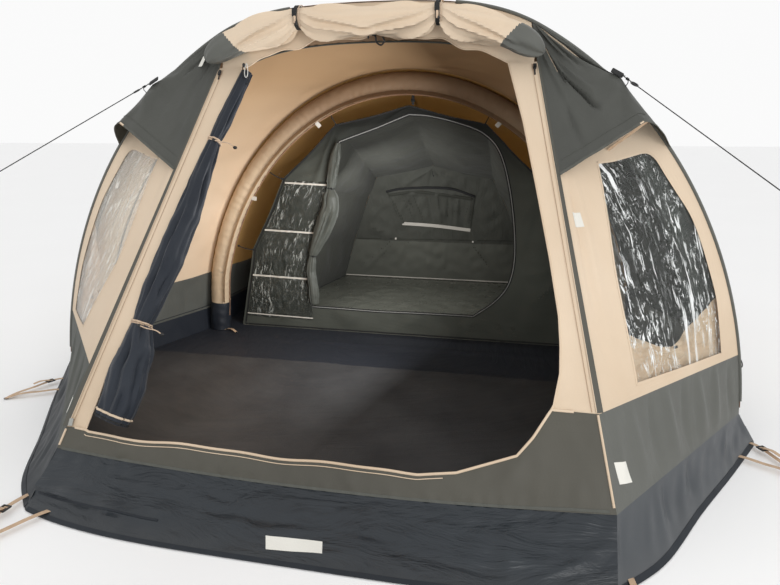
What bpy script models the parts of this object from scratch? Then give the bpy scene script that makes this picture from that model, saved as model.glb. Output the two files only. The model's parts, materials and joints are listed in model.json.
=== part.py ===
# Inflatable family tent with a sloping door front, three air arches and a hung sleeping cabin.
# Metres, +Z up, the door faces -Y, the origin lies on the ground at the middle of the footprint.
import math

import bmesh
import bpy
import numpy as np
from mathutils import Vector

# Driving heights
skirtTop = 0.162
bandTop = 0.474
hoodHem = 1.45
hoodHemPillar = 1.365
archMeet = 2.08

# Front slope: the pillars and the door lie in this plane up to the front arch
pillarFootX = 1.216
pillarLean = 0.2145
frontFootY = -2.05
frontSlope = 0.647

# Air arches: half width, height and place of the cloth over each one
frontArchWidth = 1.96
frontArchHeight = 2.28
frontArchFootY = -1.05
frontArchLean = 0.0658
frontArchDip = 0.085
dipReach = 0.434
bandDepth = 0.2
midArchWidth = 1.62
midArchHeight = 1.965
midArchY = 0.12
rearArchWidth = 1.5
rearArchHeight = 1.42
rearArchFootY = 2.31
rearArchLean = 0.397
frontBeamRadius = 0.08
midBeamRadius = 0.074
rearBeamRadius = 0.07
beamGap = 0.014
beamFootGap = 0.03
beamStepHeight = 0.26
beamCapShare = 0.97
frontBeamSetback = 0.115
rearBeamSetback = 0.16

# Cloth and seams
clothThickness = 0.003
pillarInset = 0.0018
archInset = 0.0024
ridgeInset = 0.0007
rearInset = 0.0034
skirtInset = 0.0018
seamInset = 0.00015
wallSeamInset = 0.0004
contactGap = 0.0003
sheetThickness = 0.006
trayWallHeight = 0.2
trayInset = 0.0042
traySideInset = 0.014
trayFootInset = 0.01

# Doorway in the front slope: its edge as height and half width, round at the right foot, square at the left
doorTop = 2.03
doorShoulder = 1.889
doorShoulderX = 0.702
doorSides = (
    (0.7, 0.99),
    (0.807, 0.98),
    (1.023, 0.935),
    (1.312, 0.865),
    (1.606, 0.79),
    (doorShoulder, doorShoulderX),
)
doorFootRight = ((0.215, 0.45), (0.235, 0.602), (0.311, 0.837), (0.376, 0.897), (0.488, 0.97), (0.6, 0.992))
doorFootLeft = ((0.24, 1.092), (0.372, 1.068), (0.474, 1.057), (0.566, 1.027))
sillEdge = ((-1.2, 0.24), (-0.9, 0.226), (0.45, 0.215))
frontHemSag = 0.035
hemInset = 0.0006

# Sleeping cabin
cabinFrontY = 0.24
cabinRearTopY = 1.55
cabinRearFootY = 2.08
cabinThickness = 0.002

# Rows from the skirt to the crown of an arch
bandRows = 2
wallRows = 7
shoulderRows = 5
crownRows = 6


def clearScene():
    for thing in list(bpy.data.objects):
        bpy.data.objects.remove(thing, do_unlink=True)


clearScene()
tentParts = bpy.data.collections.new("inflatable_tent")
cutterParts = bpy.data.collections.new("cutters")
bpy.context.scene.collection.children.link(tentParts)
bpy.context.scene.collection.children.link(cutterParts)


def finish(name, color, roughness, metallic=0.0):
    material = bpy.data.materials.new(name)
    material.use_nodes = True
    shader = material.node_tree.nodes["Principled BSDF"]
    shader.inputs["Base Color"].default_value = (*color, 1.0)
    shader.inputs["Roughness"].default_value = roughness
    shader.inputs["Metallic"].default_value = metallic
    return material


beigeCotton = finish("beige_cotton", (0.72, 0.55, 0.38), 0.85)
greyRipstop = finish("grey_ripstop", (0.13, 0.13, 0.115), 0.6)
navyCoated = finish("navy_coated", (0.028, 0.034, 0.045), 0.45)
sheetGrey = finish("groundsheet", (0.045, 0.04, 0.038), 0.5)
clearFilm = finish("clear_film", (0.8, 0.82, 0.82), 0.1)
cabinGrey = finish("cabin_grey", (0.05, 0.05, 0.046), 0.8)
navyMesh = finish("navy_mesh", (0.025, 0.03, 0.04), 0.8)
beamSleeve = finish("beam_sleeve", (0.5, 0.38, 0.26), 0.75)
webbing = finish("webbing", (0.68, 0.55, 0.44), 0.8)
blackCord = finish("black_cord", (0.02, 0.02, 0.02), 0.7)
pegSteel = finish("peg_steel", (0.5, 0.5, 0.5), 0.35, 1.0)


# Shapes

def addMesh(name, points, faces, material, home=tentParts):
    mesh = bpy.data.meshes.new(name)
    mesh.from_pydata([tuple(p) for p in points], [], faces)
    mesh.validate()
    shape = bpy.data.objects.new(name, mesh)
    home.objects.link(shape)
    mesh.materials.append(material)
    return shape


def thicken(shape, thickness, outwards=-1.0):
    solid = shape.modifiers.new("cloth", "SOLIDIFY")
    solid.thickness = thickness
    solid.offset = outwards
    solid.use_even_offset = True
    return solid


def panel(name, grid, material, thickness=clothThickness, smooth=True, mirror=False):
    """A cloth panel: rows of points from the bottom up, columns so that the faces point outwards."""
    rows, columns = grid.shape[:2]
    faces = []
    for row in range(rows - 1):
        for column in range(columns - 1):
            first = row * columns + column
            above = first + columns
            faces.append((first, first + 1, above + 1))
            faces.append((first, above + 1, above))
    if mirror:
        grid = grid * np.array([-1.0, 1.0, 1.0])
        faces = [face[::-1] for face in faces]
    shape = addMesh(name, grid.reshape(-1, 3), faces, material)
    thicken(shape, thickness)
    if smooth:
        shape.data.shade_smooth()
    return shape


def pulledIn(grid, bottom=0.0, top=0.0, left=0.0, right=0.0):
    """Each edge of the grid moved towards its neighbour row or column by the width given."""
    grid = grid.copy()

    def towards(edge, inner, width):
        step = inner - edge
        length = np.linalg.norm(step, axis=-1, keepdims=True)
        return edge + step / length * width

    if bottom:
        grid[0] = towards(grid[0], grid[1], bottom)
    if top:
        grid[-1] = towards(grid[-1], grid[-2], top)
    if left:
        grid[:, 0] = towards(grid[:, 0], grid[:, 1], left)
    if right:
        grid[:, -1] = towards(grid[:, -1], grid[:, -2], right)
    return grid


def between(first, last, columns):
    """Straight threads from each point of one edge to the same point of the other."""
    share = np.linspace(0.0, 1.0, columns)[None, :, None]
    return first[:, None, :] * (1.0 - share) + last[:, None, :] * share


def normals(grid):
    across = np.gradient(grid, axis=1)
    up = np.gradient(grid, axis=0)
    way = np.cross(across, up)
    return way / np.linalg.norm(way, axis=-1, keepdims=True)


def panelPair(name, grid, material, thickness=clothThickness, smooth=True):
    """The same panel on the right and, mirrored, on the left."""
    right = panel(name + "_right", grid, material, thickness, smooth)
    left = panel(name + "_left", grid, material, thickness, smooth, True)
    return {"right": right, "left": left}


def tube(name, route, radius, material, radii=None, sides=3):
    curve = bpy.data.curves.new(name, "CURVE")
    curve.dimensions = "3D"
    curve.bevel_depth = radius
    curve.bevel_resolution = sides
    curve.use_fill_caps = True
    spline = curve.splines.new("POLY")
    spline.points.add(len(route) - 1)
    for index, place in enumerate(route):
        spline.points[index].co = (*place, 1.0)
        if radii is not None:
            spline.points[index].radius = radii[index]
    curve.materials.append(material)
    shape = bpy.data.objects.new(name, curve)
    tentParts.objects.link(shape)
    return shape


# The lines that the panels are sewn along

def archAngles(height):
    """Angles up one side of an arch, with a row at the skirt, the band, the hood's hem and the pillar's top."""
    skirt = math.asin(skirtTop / height)
    band = math.asin(bandTop / height)
    hem = math.asin(hoodHem / frontArchHeight)
    meet = math.asin(archMeet / frontArchHeight)
    stops = (skirt, band, hem, meet, math.pi / 2)
    counts = (bandRows, wallRows, shoulderRows, crownRows)
    parts = [np.array([skirt])]
    for low, high, count in zip(stops, stops[1:], counts):
        parts.append(np.linspace(low, high, count + 1)[1:])
    return np.concatenate(parts)


def crownDip(share, dip):
    """How far the crown sinks under the rolled door, by the share of the arch's half width."""
    return dip * np.clip(1.0 - (share / dipReach) ** 2, 0.0, None) ** 2


def archLine(width, height, footY, lean, dip=0.0):
    """The right side of an arch from the skirt to the crown; a lean moves it back or forward with height."""
    angle = archAngles(height)
    x = width * np.cos(angle)
    x[-1] = 0.0
    z = height * np.sin(angle) - crownDip(x / width, dip)
    return np.stack([x, footY + lean * z, z], axis=1)


def frontArchTop(x):
    """Height of the front arch over each point across the tent."""
    share = x / frontArchWidth
    return frontArchHeight * np.sqrt(1.0 - share**2) - crownDip(share, frontArchDip)


def pillarLine():
    """The seam beside the door, from the skirt to where it meets the front arch."""
    heights = [np.array([skirtTop])]
    stops = (skirtTop, bandTop, hoodHemPillar, archMeet)
    for low, high, count in zip(stops, stops[1:], (bandRows, wallRows, shoulderRows)):
        heights.append(np.linspace(low, high, count + 1)[1:])
    z = np.concatenate(heights)
    x = pillarFootX - pillarLean * (z - skirtTop)
    return np.stack([x, frontY(z), z], axis=1)


def frontY(z):
    """The front slope, which turns up into the plane of the front arch where the two meet."""
    slope = frontFootY + frontSlope * (z - skirtTop)
    return np.minimum(slope, frontArchFootY + frontArchLean * z)


frontArch = archLine(frontArchWidth, frontArchHeight, frontArchFootY, frontArchLean, frontArchDip)
bandArch = frontArch + np.array([0.0, bandDepth, 0.0])
midArch = archLine(midArchWidth, midArchHeight, midArchY, 0.0)
rearArch = archLine(rearArchWidth, rearArchHeight, rearArchFootY, -rearArchLean)
pillar = pillarLine()
bandRow = bandRows
hemRow = bandRows + wallRows
meetRow = hemRow + shoulderRows
pillar[meetRow] = frontArch[meetRow]


def wholeArch(line, start):
    """Both sides of an arch as one line, from the right foot over the crown to the left foot."""
    side = line[start:]
    other = side[:-1][::-1] * np.array([-1.0, 1.0, 1.0])
    return np.concatenate([side, other])


# Flysheet

def addSidePanels():
    """Beige window panels between the pillars and the front arch, and the grey band below them."""
    upper = between(pillar[bandRow:meetRow], frontArch[bandRow:meetRow], 6)
    upper = pulledIn(upper, seamInset, archInset * 2.5, pillarInset, archInset * 1.4)
    lower = between(pillar[: bandRow + 1], frontArch[: bandRow + 1], 6)
    lower = pulledIn(lower, seamInset, seamInset, pillarInset, archInset)
    panelPair("side_lower", lower, greyRipstop)
    return panelPair("side_panel", upper, beigeCotton), panelPair("side_window", upper, clearFilm)


# The window's outline on the panel, in metres along the panel and up it from its middle
windowMiddle = Vector((1.43, -1.28, 0.9))
windowAlong = Vector((0.787, 0.617, 0.0)).normalized()
windowUp = Vector((-0.264, 0.337, 0.904)).normalized()
windowOutline = (
    (-0.19, 0.585),
    (-0.02, 0.6),
    (0.16, 0.615),
    (0.235, 0.555),
    (0.29, 0.345),
    (0.35, 0.137),
    (0.385, -0.1),
    (0.35, -0.335),
    (0.1, -0.395),
    (-0.22, -0.43),
    (-0.262, -0.2),
    (-0.235, 0.187),
)
windowDepth = 0.3


def windowCutter(name, side, shrink):
    """A block of the window's outline that passes straight through the side panel."""
    middle = np.mean(np.array(windowOutline), axis=0)
    outline = []
    for point in np.array(windowOutline):
        way = point - middle
        outline.append(point - way / np.linalg.norm(way) * shrink)
    out = windowAlong.cross(windowUp)
    points = []
    for depth in (-windowDepth, windowDepth):
        for along, up in outline:
            place = windowMiddle + windowAlong * along + windowUp * up + out * depth
            points.append((side * place.x, place.y, place.z))
    count = len(outline)
    faces = [tuple(range(count)), tuple(range(count, 2 * count))]
    for index in range(count):
        after = (index + 1) % count
        faces.append((index, after, count + after, count + index))
    cutter = addMesh(name, points, faces, clearFilm, cutterParts)
    build = bmesh.new()
    build.from_mesh(cutter.data)
    bmesh.ops.recalc_face_normals(build, faces=build.faces)
    build.to_mesh(cutter.data)
    build.free()
    cutter.hide_render = True
    cutter.display_type = "WIRE"
    return cutter


def combine(shape, cutter, operation):
    cut = shape.modifiers.new("window", "BOOLEAN")
    cut.operation = operation
    cut.object = cutter
    cut.solver = "EXACT"


def cutWindows(panels, films):
    for side, sign in (("right", 1.0), ("left", -1.0)):
        hole = windowCutter("window_hole_" + side, sign, 0.0)
        pane = windowCutter("window_pane_" + side, sign, contactGap)
        combine(panels[side], hole, "DIFFERENCE")
        combine(films[side], pane, "INTERSECT")


def doorEdge(z, side):
    """Half width of the doorway at each height on one side."""
    points = (doorFootRight if side == "right" else doorFootLeft) + doorSides
    return np.interp(z, [height for height, width in points], [width for height, width in points])


def frontHem(x):
    """Height of the seam between the grey band and the skirt along the front, which sags in the middle."""
    return skirtTop - frontHemSag * (1.0 - np.minimum(np.abs(x) / pillarFootX, 1.0) ** 2)


def doorTopHeight(x):
    """The doorway's top edge, a flat arc from shoulder to shoulder."""
    share = np.clip(np.abs(x) / doorShoulderX, 0.0, 1.0)
    return doorTop - (doorTop - doorShoulder) * share**2.4


def onFront(x, z):
    return np.stack([x, frontY(z), z], axis=-1)


def addFrontPanels():
    """Beige strips beside the doorway up to its shoulder, from the grey band or, on the left, the sill."""
    share = np.linspace(0.0, 1.0, 3)[None, :]
    for side, low in (("right", bandTop), ("left", doorFootLeft[0][0])):
        z = np.linspace(low, doorShoulder, 14)
        outer = np.interp(z, pillar[:, 2], pillar[:, 0])
        inner = doorEdge(z, side)
        x = inner[:, None] * (1 - share) + outer[:, None] * share
        grid = onFront(x, np.broadcast_to(z[:, None], x.shape).copy())
        grid = pulledIn(grid, seamInset, seamInset, 0.0, pillarInset)
        panel("front_panel_" + side, grid, beigeCotton, mirror=side == "left")


def addFrontHeader():
    """The beige panel over the doorway, up to the front arch."""
    reach = 0.83
    x = np.linspace(-reach, reach, 25)
    low = np.where(np.abs(x) < doorShoulderX, doorTopHeight(x), doorShoulder)
    high = frontArchTop(x)
    seam = np.interp(np.abs(x), pillar[::-1, 0], pillar[::-1, 2])
    high = np.minimum(high, seam)
    share = np.linspace(0.0, 1.0, 4)[:, None]
    z = low[None, :] * (1 - share) + high[None, :] * share
    grid = onFront(np.broadcast_to(x[None, :], z.shape).copy(), z)
    grid = pulledIn(grid, seamInset, archInset * 1.6, pillarInset, pillarInset)
    panel("front_header", grid, beigeCotton)


def addDoorSill():
    """The grey band under the doorway, as threads from the hem up to the doorway's edge."""
    leftX, rightX = (pillarFootX - pillarLean * (z - skirtTop) for z in (sillEdge[0][1], bandTop))
    threads = [(-pillarFootX, -leftX, sillEdge[0][1])]
    for x in np.linspace(-1.15, sillEdge[-1][0], 15):
        threads.append((x, x, np.interp(x, *zip(*sillEdge))))
    for z in np.linspace(sillEdge[-1][1], bandTop, 12)[1:]:
        x = doorEdge(z, "right")
        threads.append((x, x, z))
    threads += [((x + pillarFootX) / 2, (x + rightX) / 2, bandTop), (pillarFootX, rightX, bandTop)]
    low, high, top = np.array(threads).T
    share = np.linspace(0.0, 1.0, 3)[:, None]
    x = low[None, :] * (1 - share) + high[None, :] * share
    z = frontHem(low)[None, :] * (1 - share) + top[None, :] * share
    grid = pulledIn(onFront(x, z), hemInset, seamInset, pillarInset, pillarInset)
    panel("door_sill", grid, greyRipstop)


def addArchCover():
    """The grey strip of flysheet over the front air arch, from ground band to ground band."""
    grid = between(wholeArch(frontArch, 0), wholeArch(bandArch, 0), 3)
    grid = pulledIn(grid, seamInset, seamInset, archInset, ridgeInset)
    panel("front_arch_cover", grid, greyRipstop)


def addMidBay():
    """Roof between the front and the middle arch, the walls that it is sewn to, and their grey bands."""
    roof = between(wholeArch(bandArch, hemRow), wholeArch(midArch, hemRow), 4)
    roof = pulledIn(roof, wallSeamInset, wallSeamInset, ridgeInset, ridgeInset)
    panel("mid_roof", roof, beigeCotton)
    wall = between(bandArch[bandRow : hemRow + 1], midArch[bandRow : hemRow + 1], 4)
    wall = pulledIn(wall, seamInset, wallSeamInset, ridgeInset, ridgeInset)
    panelPair("mid_wall", wall, beigeCotton)
    lower = between(bandArch[: bandRow + 1], midArch[: bandRow + 1], 4)
    lower = pulledIn(lower, seamInset, seamInset, ridgeInset, ridgeInset)
    panelPair("mid_lower", lower, greyRipstop)


def addRearBay():
    """Roof and walls over the sleeping cabin, and the flat leaning rear wall."""
    roof = between(wholeArch(midArch, bandRow), wholeArch(rearArch, bandRow), 6)
    roof = pulledIn(roof, seamInset, seamInset, ridgeInset, rearInset)
    panel("rear_roof", roof, beigeCotton)
    lower = between(midArch[: bandRow + 1], rearArch[: bandRow + 1], 6)
    lower = pulledIn(lower, seamInset, seamInset, ridgeInset, rearInset)
    panelPair("rear_lower", lower, greyRipstop)


def rearWallY(z):
    return rearArchFootY - rearArchLean * z


def addRearWall():
    reach = rearArch[bandRow, 0] * 0.985
    x = np.linspace(reach, -reach, 23)
    high = rearArchHeight * np.sqrt(1.0 - (x / rearArchWidth) ** 2)
    share = np.linspace(0.0, 1.0, 5)[:, None]
    z = bandTop * (1 - share) + high[None, :] * share
    grid = np.stack([np.broadcast_to(x[None, :], z.shape), rearWallY(z), z], axis=-1)
    grid = pulledIn(grid, seamInset, rearInset * 1.3, rearInset, rearInset)
    panel("rear_wall", grid, beigeCotton)
    z = np.array([skirtTop, bandTop])[:, None]
    halfWidth = rearArch[[0, bandRow], 0] - rearInset
    x = np.linspace(1.0, -1.0, 7)[None, :] * halfWidth[:, None]
    z = np.broadcast_to(z, x.shape)
    grid = np.stack([x, rearWallY(z), z], axis=-1)
    panel("rear_lower", pulledIn(grid, seamInset, seamInset, 0.0, 0.0), greyRipstop)


# Mud skirts, from the foot of the walls out to the ground

skirtLow = 0.0042
frontFeetX = 1.2
frontFeetY = -2.39
frontFeetBow = 0.1
cornerFeet = ((1.2, -2.29), (1.4, -2.08), (1.62, -1.72), (1.84, -1.38), (2.05, -1.04))
bandFoot = (2.07, -0.84)
midFoot = (1.76, 0.12)
rearFoot = (1.62, 2.4)


def frontFeetLine(x):
    """The skirt's front edge on the ground, which bows forward between the corners."""
    return frontFeetY + frontFeetBow * (np.abs(x) / frontFeetX) ** 4


def skirtStrip(tops, feet):
    """A strip from the foot of a wall to the ground, in three rows."""
    top = np.array(tops)
    foot = np.array([(x, y, skirtLow) for x, y in feet])
    share = np.linspace(0.0, 1.0, 4)[:, None, None]
    return foot[None] * (1 - share) + top[None] * share


def steps(first, last, count):
    """Points from just after the first one to the last one."""
    first, last = np.array(first), np.array(last)
    return [first + (last - first) * k / count for k in range(1, count + 1)]


def addSkirts():
    """Navy mud skirts along the front, round the front corners, along the sides and at the rear."""
    share = np.linspace(-1.0, 1.0, 13)
    x = share * pillarFootX
    hem = frontHem(x)
    tops = np.stack([x, frontY(hem), hem], axis=1)
    x = share * frontFeetX
    feet = np.stack([x, frontFeetLine(x)], axis=1)
    grid = pulledIn(skirtStrip(tops, feet), 0.0, hemInset, skirtInset, skirtInset)
    panel("skirt_front", grid, navyCoated)

    tops = [pillar[0]] + steps(pillar[0], frontArch[0], len(cornerFeet) - 1)
    grid = pulledIn(skirtStrip(tops, cornerFeet), 0.0, seamInset, skirtInset, skirtInset)
    panelPair("skirt_corner", grid, navyCoated)

    tops = [frontArch[0], bandArch[0]] + steps(bandArch[0], midArch[0], 2) + steps(midArch[0], rearArch[0], 3)
    feet = [cornerFeet[-1], bandFoot] + steps(bandFoot, midFoot, 2) + steps(midFoot, rearFoot, 3)
    grid = pulledIn(skirtStrip(tops, feet), 0.0, seamInset, skirtInset, rearInset)
    panelPair("skirt_side", grid, navyCoated)

    share = np.linspace(1.0, -1.0, 9)
    tops = [(k * rearArch[0, 0], rearArch[0, 1], skirtTop) for k in share]
    feet = [(k * rearFoot[0], rearFoot[1]) for k in share]
    grid = pulledIn(skirtStrip(tops, feet), 0.0, seamInset, rearInset, rearInset)
    panel("skirt_rear", grid, navyCoated)


# Groundsheet with a raised edge

def shrunk(outline, widths):
    """A closed outline, counter-clockwise from above, with each side moved inwards by its own width."""
    count = len(outline)
    result = []
    for index in range(count):
        before, here, after = outline[index - 1], outline[index], outline[(index + 1) % count]
        sides = []
        for start, end, width in ((before, here, widths[index - 1]), (here, after, widths[index])):
            way = (end - start) / np.linalg.norm(end - start)
            inwards = np.array([-way[1], way[0]])
            sides.append((inwards, inwards.dot(here) + width))
        matrix = np.array([sides[0][0], sides[1][0]])
        result.append(np.linalg.solve(matrix, np.array([sides[0][1], sides[1][1]])))
    return np.array(result)


def footprint(z):
    """The inside corners of the walls at a height, counter-clockwise from the front right."""
    corners = []
    for line in (pillar, frontArch, bandArch, midArch, rearArch):
        corners.append([np.interp(z, line[: bandRow + 1, 2], line[: bandRow + 1, axis]) for axis in (0, 1)])
    right = np.array(corners)
    left = right[::-1] * np.array([-1.0, 1.0])
    return np.concatenate([right, left])


def addGroundsheet():
    """A tray of coated cloth inside the walls, open at the top."""
    side = [traySideInset] * 4
    widths = np.array(side + [trayInset] + side + [trayInset])
    low = shrunk(footprint(skirtTop), widths + trayFootInset)
    middle = shrunk(footprint(skirtTop), widths)
    high = shrunk(footprint(trayWallHeight), widths)
    count = len(low)
    points = [(x, y, 0.0) for x, y in low]
    points += [(x, y, skirtTop) for x, y in middle]
    points += [(x, y, trayWallHeight) for x, y in high]
    faces = [tuple(reversed(range(count)))]
    for ring in (0, 1):
        for index in range(count):
            after = (index + 1) % count
            base = ring * count
            faces.append((base + index, base + after, base + count + after, base + count + index))
    sheet = addMesh("groundsheet", points, faces, sheetGrey)
    thicken(sheet, sheetThickness)


# Air arches, each standing on the groundsheet

def beamRoute(width, height, footY, lean, radius, dip=0.0):
    """The middle line of an air arch, close under the cloth and stepped in at the groundsheet's raised edge."""
    angle = archAngles(height - radius - beamGap)
    z = (height - radius - beamGap) * np.sin(angle)
    ease = np.clip((bandTop - z) / (bandTop - beamStepHeight), 0.0, 1.0)
    gap = beamGap + (beamFootGap - beamGap) * ease
    x = (width - radius - gap) * np.cos(angle)
    x[-1] = 0.0
    z = z - crownDip(x / width, dip)
    tilt = math.sin(math.atan(abs(lean)))
    foot = sheetThickness + contactGap + radius * tilt * beamCapShare
    side = np.stack([x, footY + lean * z, z], axis=1)
    start = np.array([[side[0, 0], footY + lean * foot, foot]])
    side = np.concatenate([start, side])
    other = side[:-1][::-1] * np.array([-1.0, 1.0, 1.0])
    return np.concatenate([side, other])


def addBeams():
    """Three air arches; the front and rear ones stand a little inside the wall that they hold up."""
    route = beamRoute(
        frontArchWidth, frontArchHeight, frontArchFootY + frontBeamSetback, frontArchLean,
        frontBeamRadius, frontArchDip,
    )
    tube("front_beam", route, frontBeamRadius, beamSleeve)
    route = beamRoute(midArchWidth, midArchHeight, midArchY, 0.0, midBeamRadius)
    tube("mid_beam", route, midBeamRadius, beamSleeve)
    route = beamRoute(
        rearArchWidth, rearArchHeight, rearArchFootY - rearBeamSetback, -rearArchLean, rearBeamRadius,
    )
    tube("rear_beam", route, rearBeamRadius, beamSleeve)


# Rolled doors

rollReach = 0.87
rollRadius = 0.074
rollDrop = 0.105
rollPinch = 0.022
tieLift = 0.04
rollEndForward = 0.05
rollEndTaper = 0.2
tieX = 0.36
tieWidth = 0.07
rollEndStart = 0.7
meshRollTop = 0.042
meshRollFoot = 0.1
meshRollLow = 0.262
meshRollHigh = 1.83
rollSeat = 0.0008
rollBack = 0.0004


def addDoorRoll():
    """The front door, rolled up along the front arch, drawn in at its two ties and slimmer at its ends."""
    x = np.linspace(-rollReach, rollReach, 31)
    tie = np.exp(-(((np.abs(x) - tieX) / tieWidth) ** 2))
    side = np.clip((np.abs(x) - rollEndStart) / (rollReach - rollEndStart), 0.0, 1.0)
    z = frontArchTop(x) - rollDrop + tieLift * tie
    y = frontArchFootY + frontArchLean * z - rollRadius + rollBack - rollEndForward * side
    radii = 1.0 - rollPinch / rollRadius * tie - rollEndTaper * side**2
    tube("door_roll", np.stack([x, y, z], axis=1), rollRadius, beigeCotton, radii, 4)


def addMeshRoll():
    """The insect door, gathered into a long bundle down the left edge of the doorway."""
    z = np.linspace(meshRollLow, meshRollHigh, 17)
    share = (z - z[0]) / (z[-1] - z[0])
    radius = meshRollFoot * (1 - share) + meshRollTop * share
    x = -doorEdge(z, "left") + radius + rollSeat
    tube("mesh_door_roll", np.stack([x, frontY(z), z], axis=1), 1.0, navyMesh, radius, 3)


# Hoods over the windows

hoodCorner = np.array([1.399, -1.135, 1.59])
guyPoint = np.array([1.24, -0.985, 1.812])
hoodLift = 0.0034


def addHoods():
    """Grey hoods from the roof over each window, stretched forward at their outer corners."""
    rows = np.arange(hemRow, meetRow)
    inner = pillar[rows] + np.array([0.35, -0.8, 0.3]) * hoodLift
    share = np.linspace(0.0, 1.0, len(rows))[:, None]
    top = frontArch[meetRow - 1] + np.array([0.25, -0.6, 0.6]) * hoodLift
    low = hoodCorner * (1 - 2 * share) + guyPoint * 2 * share
    high = guyPoint * (2 - 2 * share) + top * (2 * share - 1)
    edge = np.where(share < 0.5, low, high)
    main = between(inner, edge, 6)
    back = frontArch[rows] + np.array([0.5, -0.35, 0.5]) * hoodLift
    back[0] = back[0] + np.array([0.02, -0.03, -0.03])
    gusset = between(edge, back, 4)[:, 1:]
    grid = np.concatenate([main, gusset], axis=1)[:, :-1]
    panelPair("hood", grid, greyRipstop, 0.002)


# Sleeping cabin hung inside the rear bay

cabinFront = (
    (1.385, 0.0),
    (1.32, 0.32),
    (1.256, 0.639),
    (1.13, 0.92),
    (0.974, 1.202),
    (0.63, 1.6),
    (0.3, 1.67),
    (0.0, 1.731),
)
cabinRear = (
    (1.16, 0.0),
    (1.12, 0.22),
    (1.06, 0.42),
    (0.97, 0.66),
    (0.86, 0.9),
    (0.5, 1.15),
    (0.25, 1.2),
    (0.0, 1.24),
)
cabinDoor = (
    (0.5, 0.2),
    (0.66, 0.33),
    (0.755, 0.48),
    (0.78, 0.72),
    (0.735, 1.09),
    (0.65, 1.39),
    (0.53, 1.53),
    (0.34, 1.605),
    (0.14, 1.65),
    (0.0, 1.66),
)
cabinBase = sheetThickness + contactGap
cabinFloorTop = cabinBase + 0.003
cabinFrontLift = 0.0008
cabinRearLift = 0.0012
cabinSeam = 0.0022
rearSheetInset = 0.006


def cabinLine(outline, yFoot, yTop, lift):
    """A frame of the cabin from its right foot over the top to its left foot, just above the floor."""
    points = np.array(outline)
    share = points[:, 1] / points[-1, 1]
    z = points[:, 1] + (cabinFloorTop + lift) * (1 - share)
    y = yFoot + (yTop - yFoot) * share
    side = np.stack([points[:, 0], y, z], axis=1)
    other = side[:-1][::-1] * np.array([-1.0, 1.0, 1.0])
    return np.concatenate([side, other])


def addCabinCanopy():
    """The dark cloth over the cabin, from its front frame to its leaning rear wall, and that wall."""
    seamY = cabinFrontY + cabinSeam
    front = cabinLine(cabinFront, seamY, seamY, cabinFrontLift)
    rear = cabinLine(cabinRear, cabinRearFootY, cabinRearTopY, cabinRearLift)
    grid = pulledIn(between(front, rear, 5), 0.0, 0.0, 0.0, cabinThickness)
    panel("inner_canopy", grid, cabinGrey, cabinThickness, False)
    side = rear[: len(cabinRear) - 1]
    share = np.linspace(1.0, -1.0, 7)[None, :]
    x = share * (side[:, 0] - rearSheetInset)[:, None]
    y = np.broadcast_to(side[:, 1][:, None], x.shape)
    z = np.broadcast_to(side[:, 2][:, None], x.shape)
    grid = pulledIn(np.stack([x, y, z], axis=-1), 0.0, rearSheetInset, 0.0, 0.0)
    panel("inner_rear_wall", grid, cabinGrey, cabinThickness, False)


def flatPiece(name, rings, thickness, material):
    """A flat piece cut to its outline; a second ring is a hole in it."""
    curve = bpy.data.curves.new(name, "CURVE")
    curve.dimensions = "2D"
    curve.fill_mode = "BOTH"
    curve.extrude = thickness / 2
    for ring in rings:
        spline = curve.splines.new("POLY")
        spline.points.add(len(ring) - 1)
        for point, (x, y) in zip(spline.points, ring):
            point.co = (x, y, 0.0, 1.0)
        spline.use_cyclic_u = True
    curve.materials.append(material)
    shape = bpy.data.objects.new(name, curve)
    tentParts.objects.link(shape)
    return shape


def addCabinFront():
    """The cabin's front wall with its wide zipped doorway."""
    outer = cabinLine(cabinFront, cabinFrontY, cabinFrontY, contactGap)
    outline = [(x, z) for x, y, z in outer]
    hole = list(cabinDoor) + [(-x, z) for x, z in cabinDoor[:-1][::-1]]
    wall = flatPiece("inner_front", (outline, hole), cabinThickness, cabinGrey)
    wall.location = (0.0, cabinFrontY, 0.0)
    wall.rotation_euler = (math.pi / 2, 0.0, 0.0)


def addCabinFloor():
    """The cabin's floor, laid on the groundsheet."""
    front = (1.38, cabinFrontY - 0.01)
    rear = (1.155, cabinRearFootY)
    outline = (front, rear, (-rear[0], rear[1]), (-front[0], front[1]))
    floor = flatPiece("inner_floor", (outline,), cabinFloorTop - cabinBase, sheetGrey)
    floor.location = (0.0, 0.0, (cabinFloorTop + cabinBase) / 2)


innerRollRadius = 0.045
innerRollOut = 0.03
pocketLow = 0.1
pocketHigh = 1.25
pocketInnerX = 0.83
pocketEdge = 0.06
pocketDepth = 0.004
innerRollSeat = 0.0015
innerRollEnds = (0.24, 1.4)


def addCabinFittings():
    """The rolled cabin door and the mesh pockets beside it."""
    z = np.linspace(*innerRollEnds, 9)
    door = np.array(cabinDoor)
    x = -np.interp(z, door[:, 1], door[:, 0]) - innerRollOut
    y = np.full_like(z, cabinFrontY - innerRollRadius - innerRollSeat)
    tube("inner_door_roll", np.stack([x, y, z], axis=1), innerRollRadius, cabinGrey, None, 3)
    z = np.linspace(pocketLow, pocketHigh, 5)
    frame = np.array(cabinFront)
    left = -np.interp(z, frame[:, 1], frame[:, 0]) + pocketEdge
    share = np.linspace(0.0, 1.0, 4)[None, :]
    x = left[:, None] * (1 - share) - pocketInnerX * share
    y = np.full_like(x, cabinFrontY - cabinThickness / 2 - contactGap - pocketDepth)
    grid = np.stack([x, y, np.broadcast_to(z[:, None], x.shape)], axis=-1)
    panel("net_pockets", grid, navyMesh, pocketDepth, False)


# Curtains inside the windows

curtainGap = 0.0008


def addCurtains():
    """The beige curtain behind the lower part of each window."""
    grid = between(pillar[bandRow:meetRow], frontArch[bandRow:meetRow], 6)
    depth = clothThickness + curtainGap
    grid = (grid - normals(grid) * depth)[0:4, 1:5]
    panelPair("window_curtain", grid, beigeCotton, 0.002)


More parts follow.
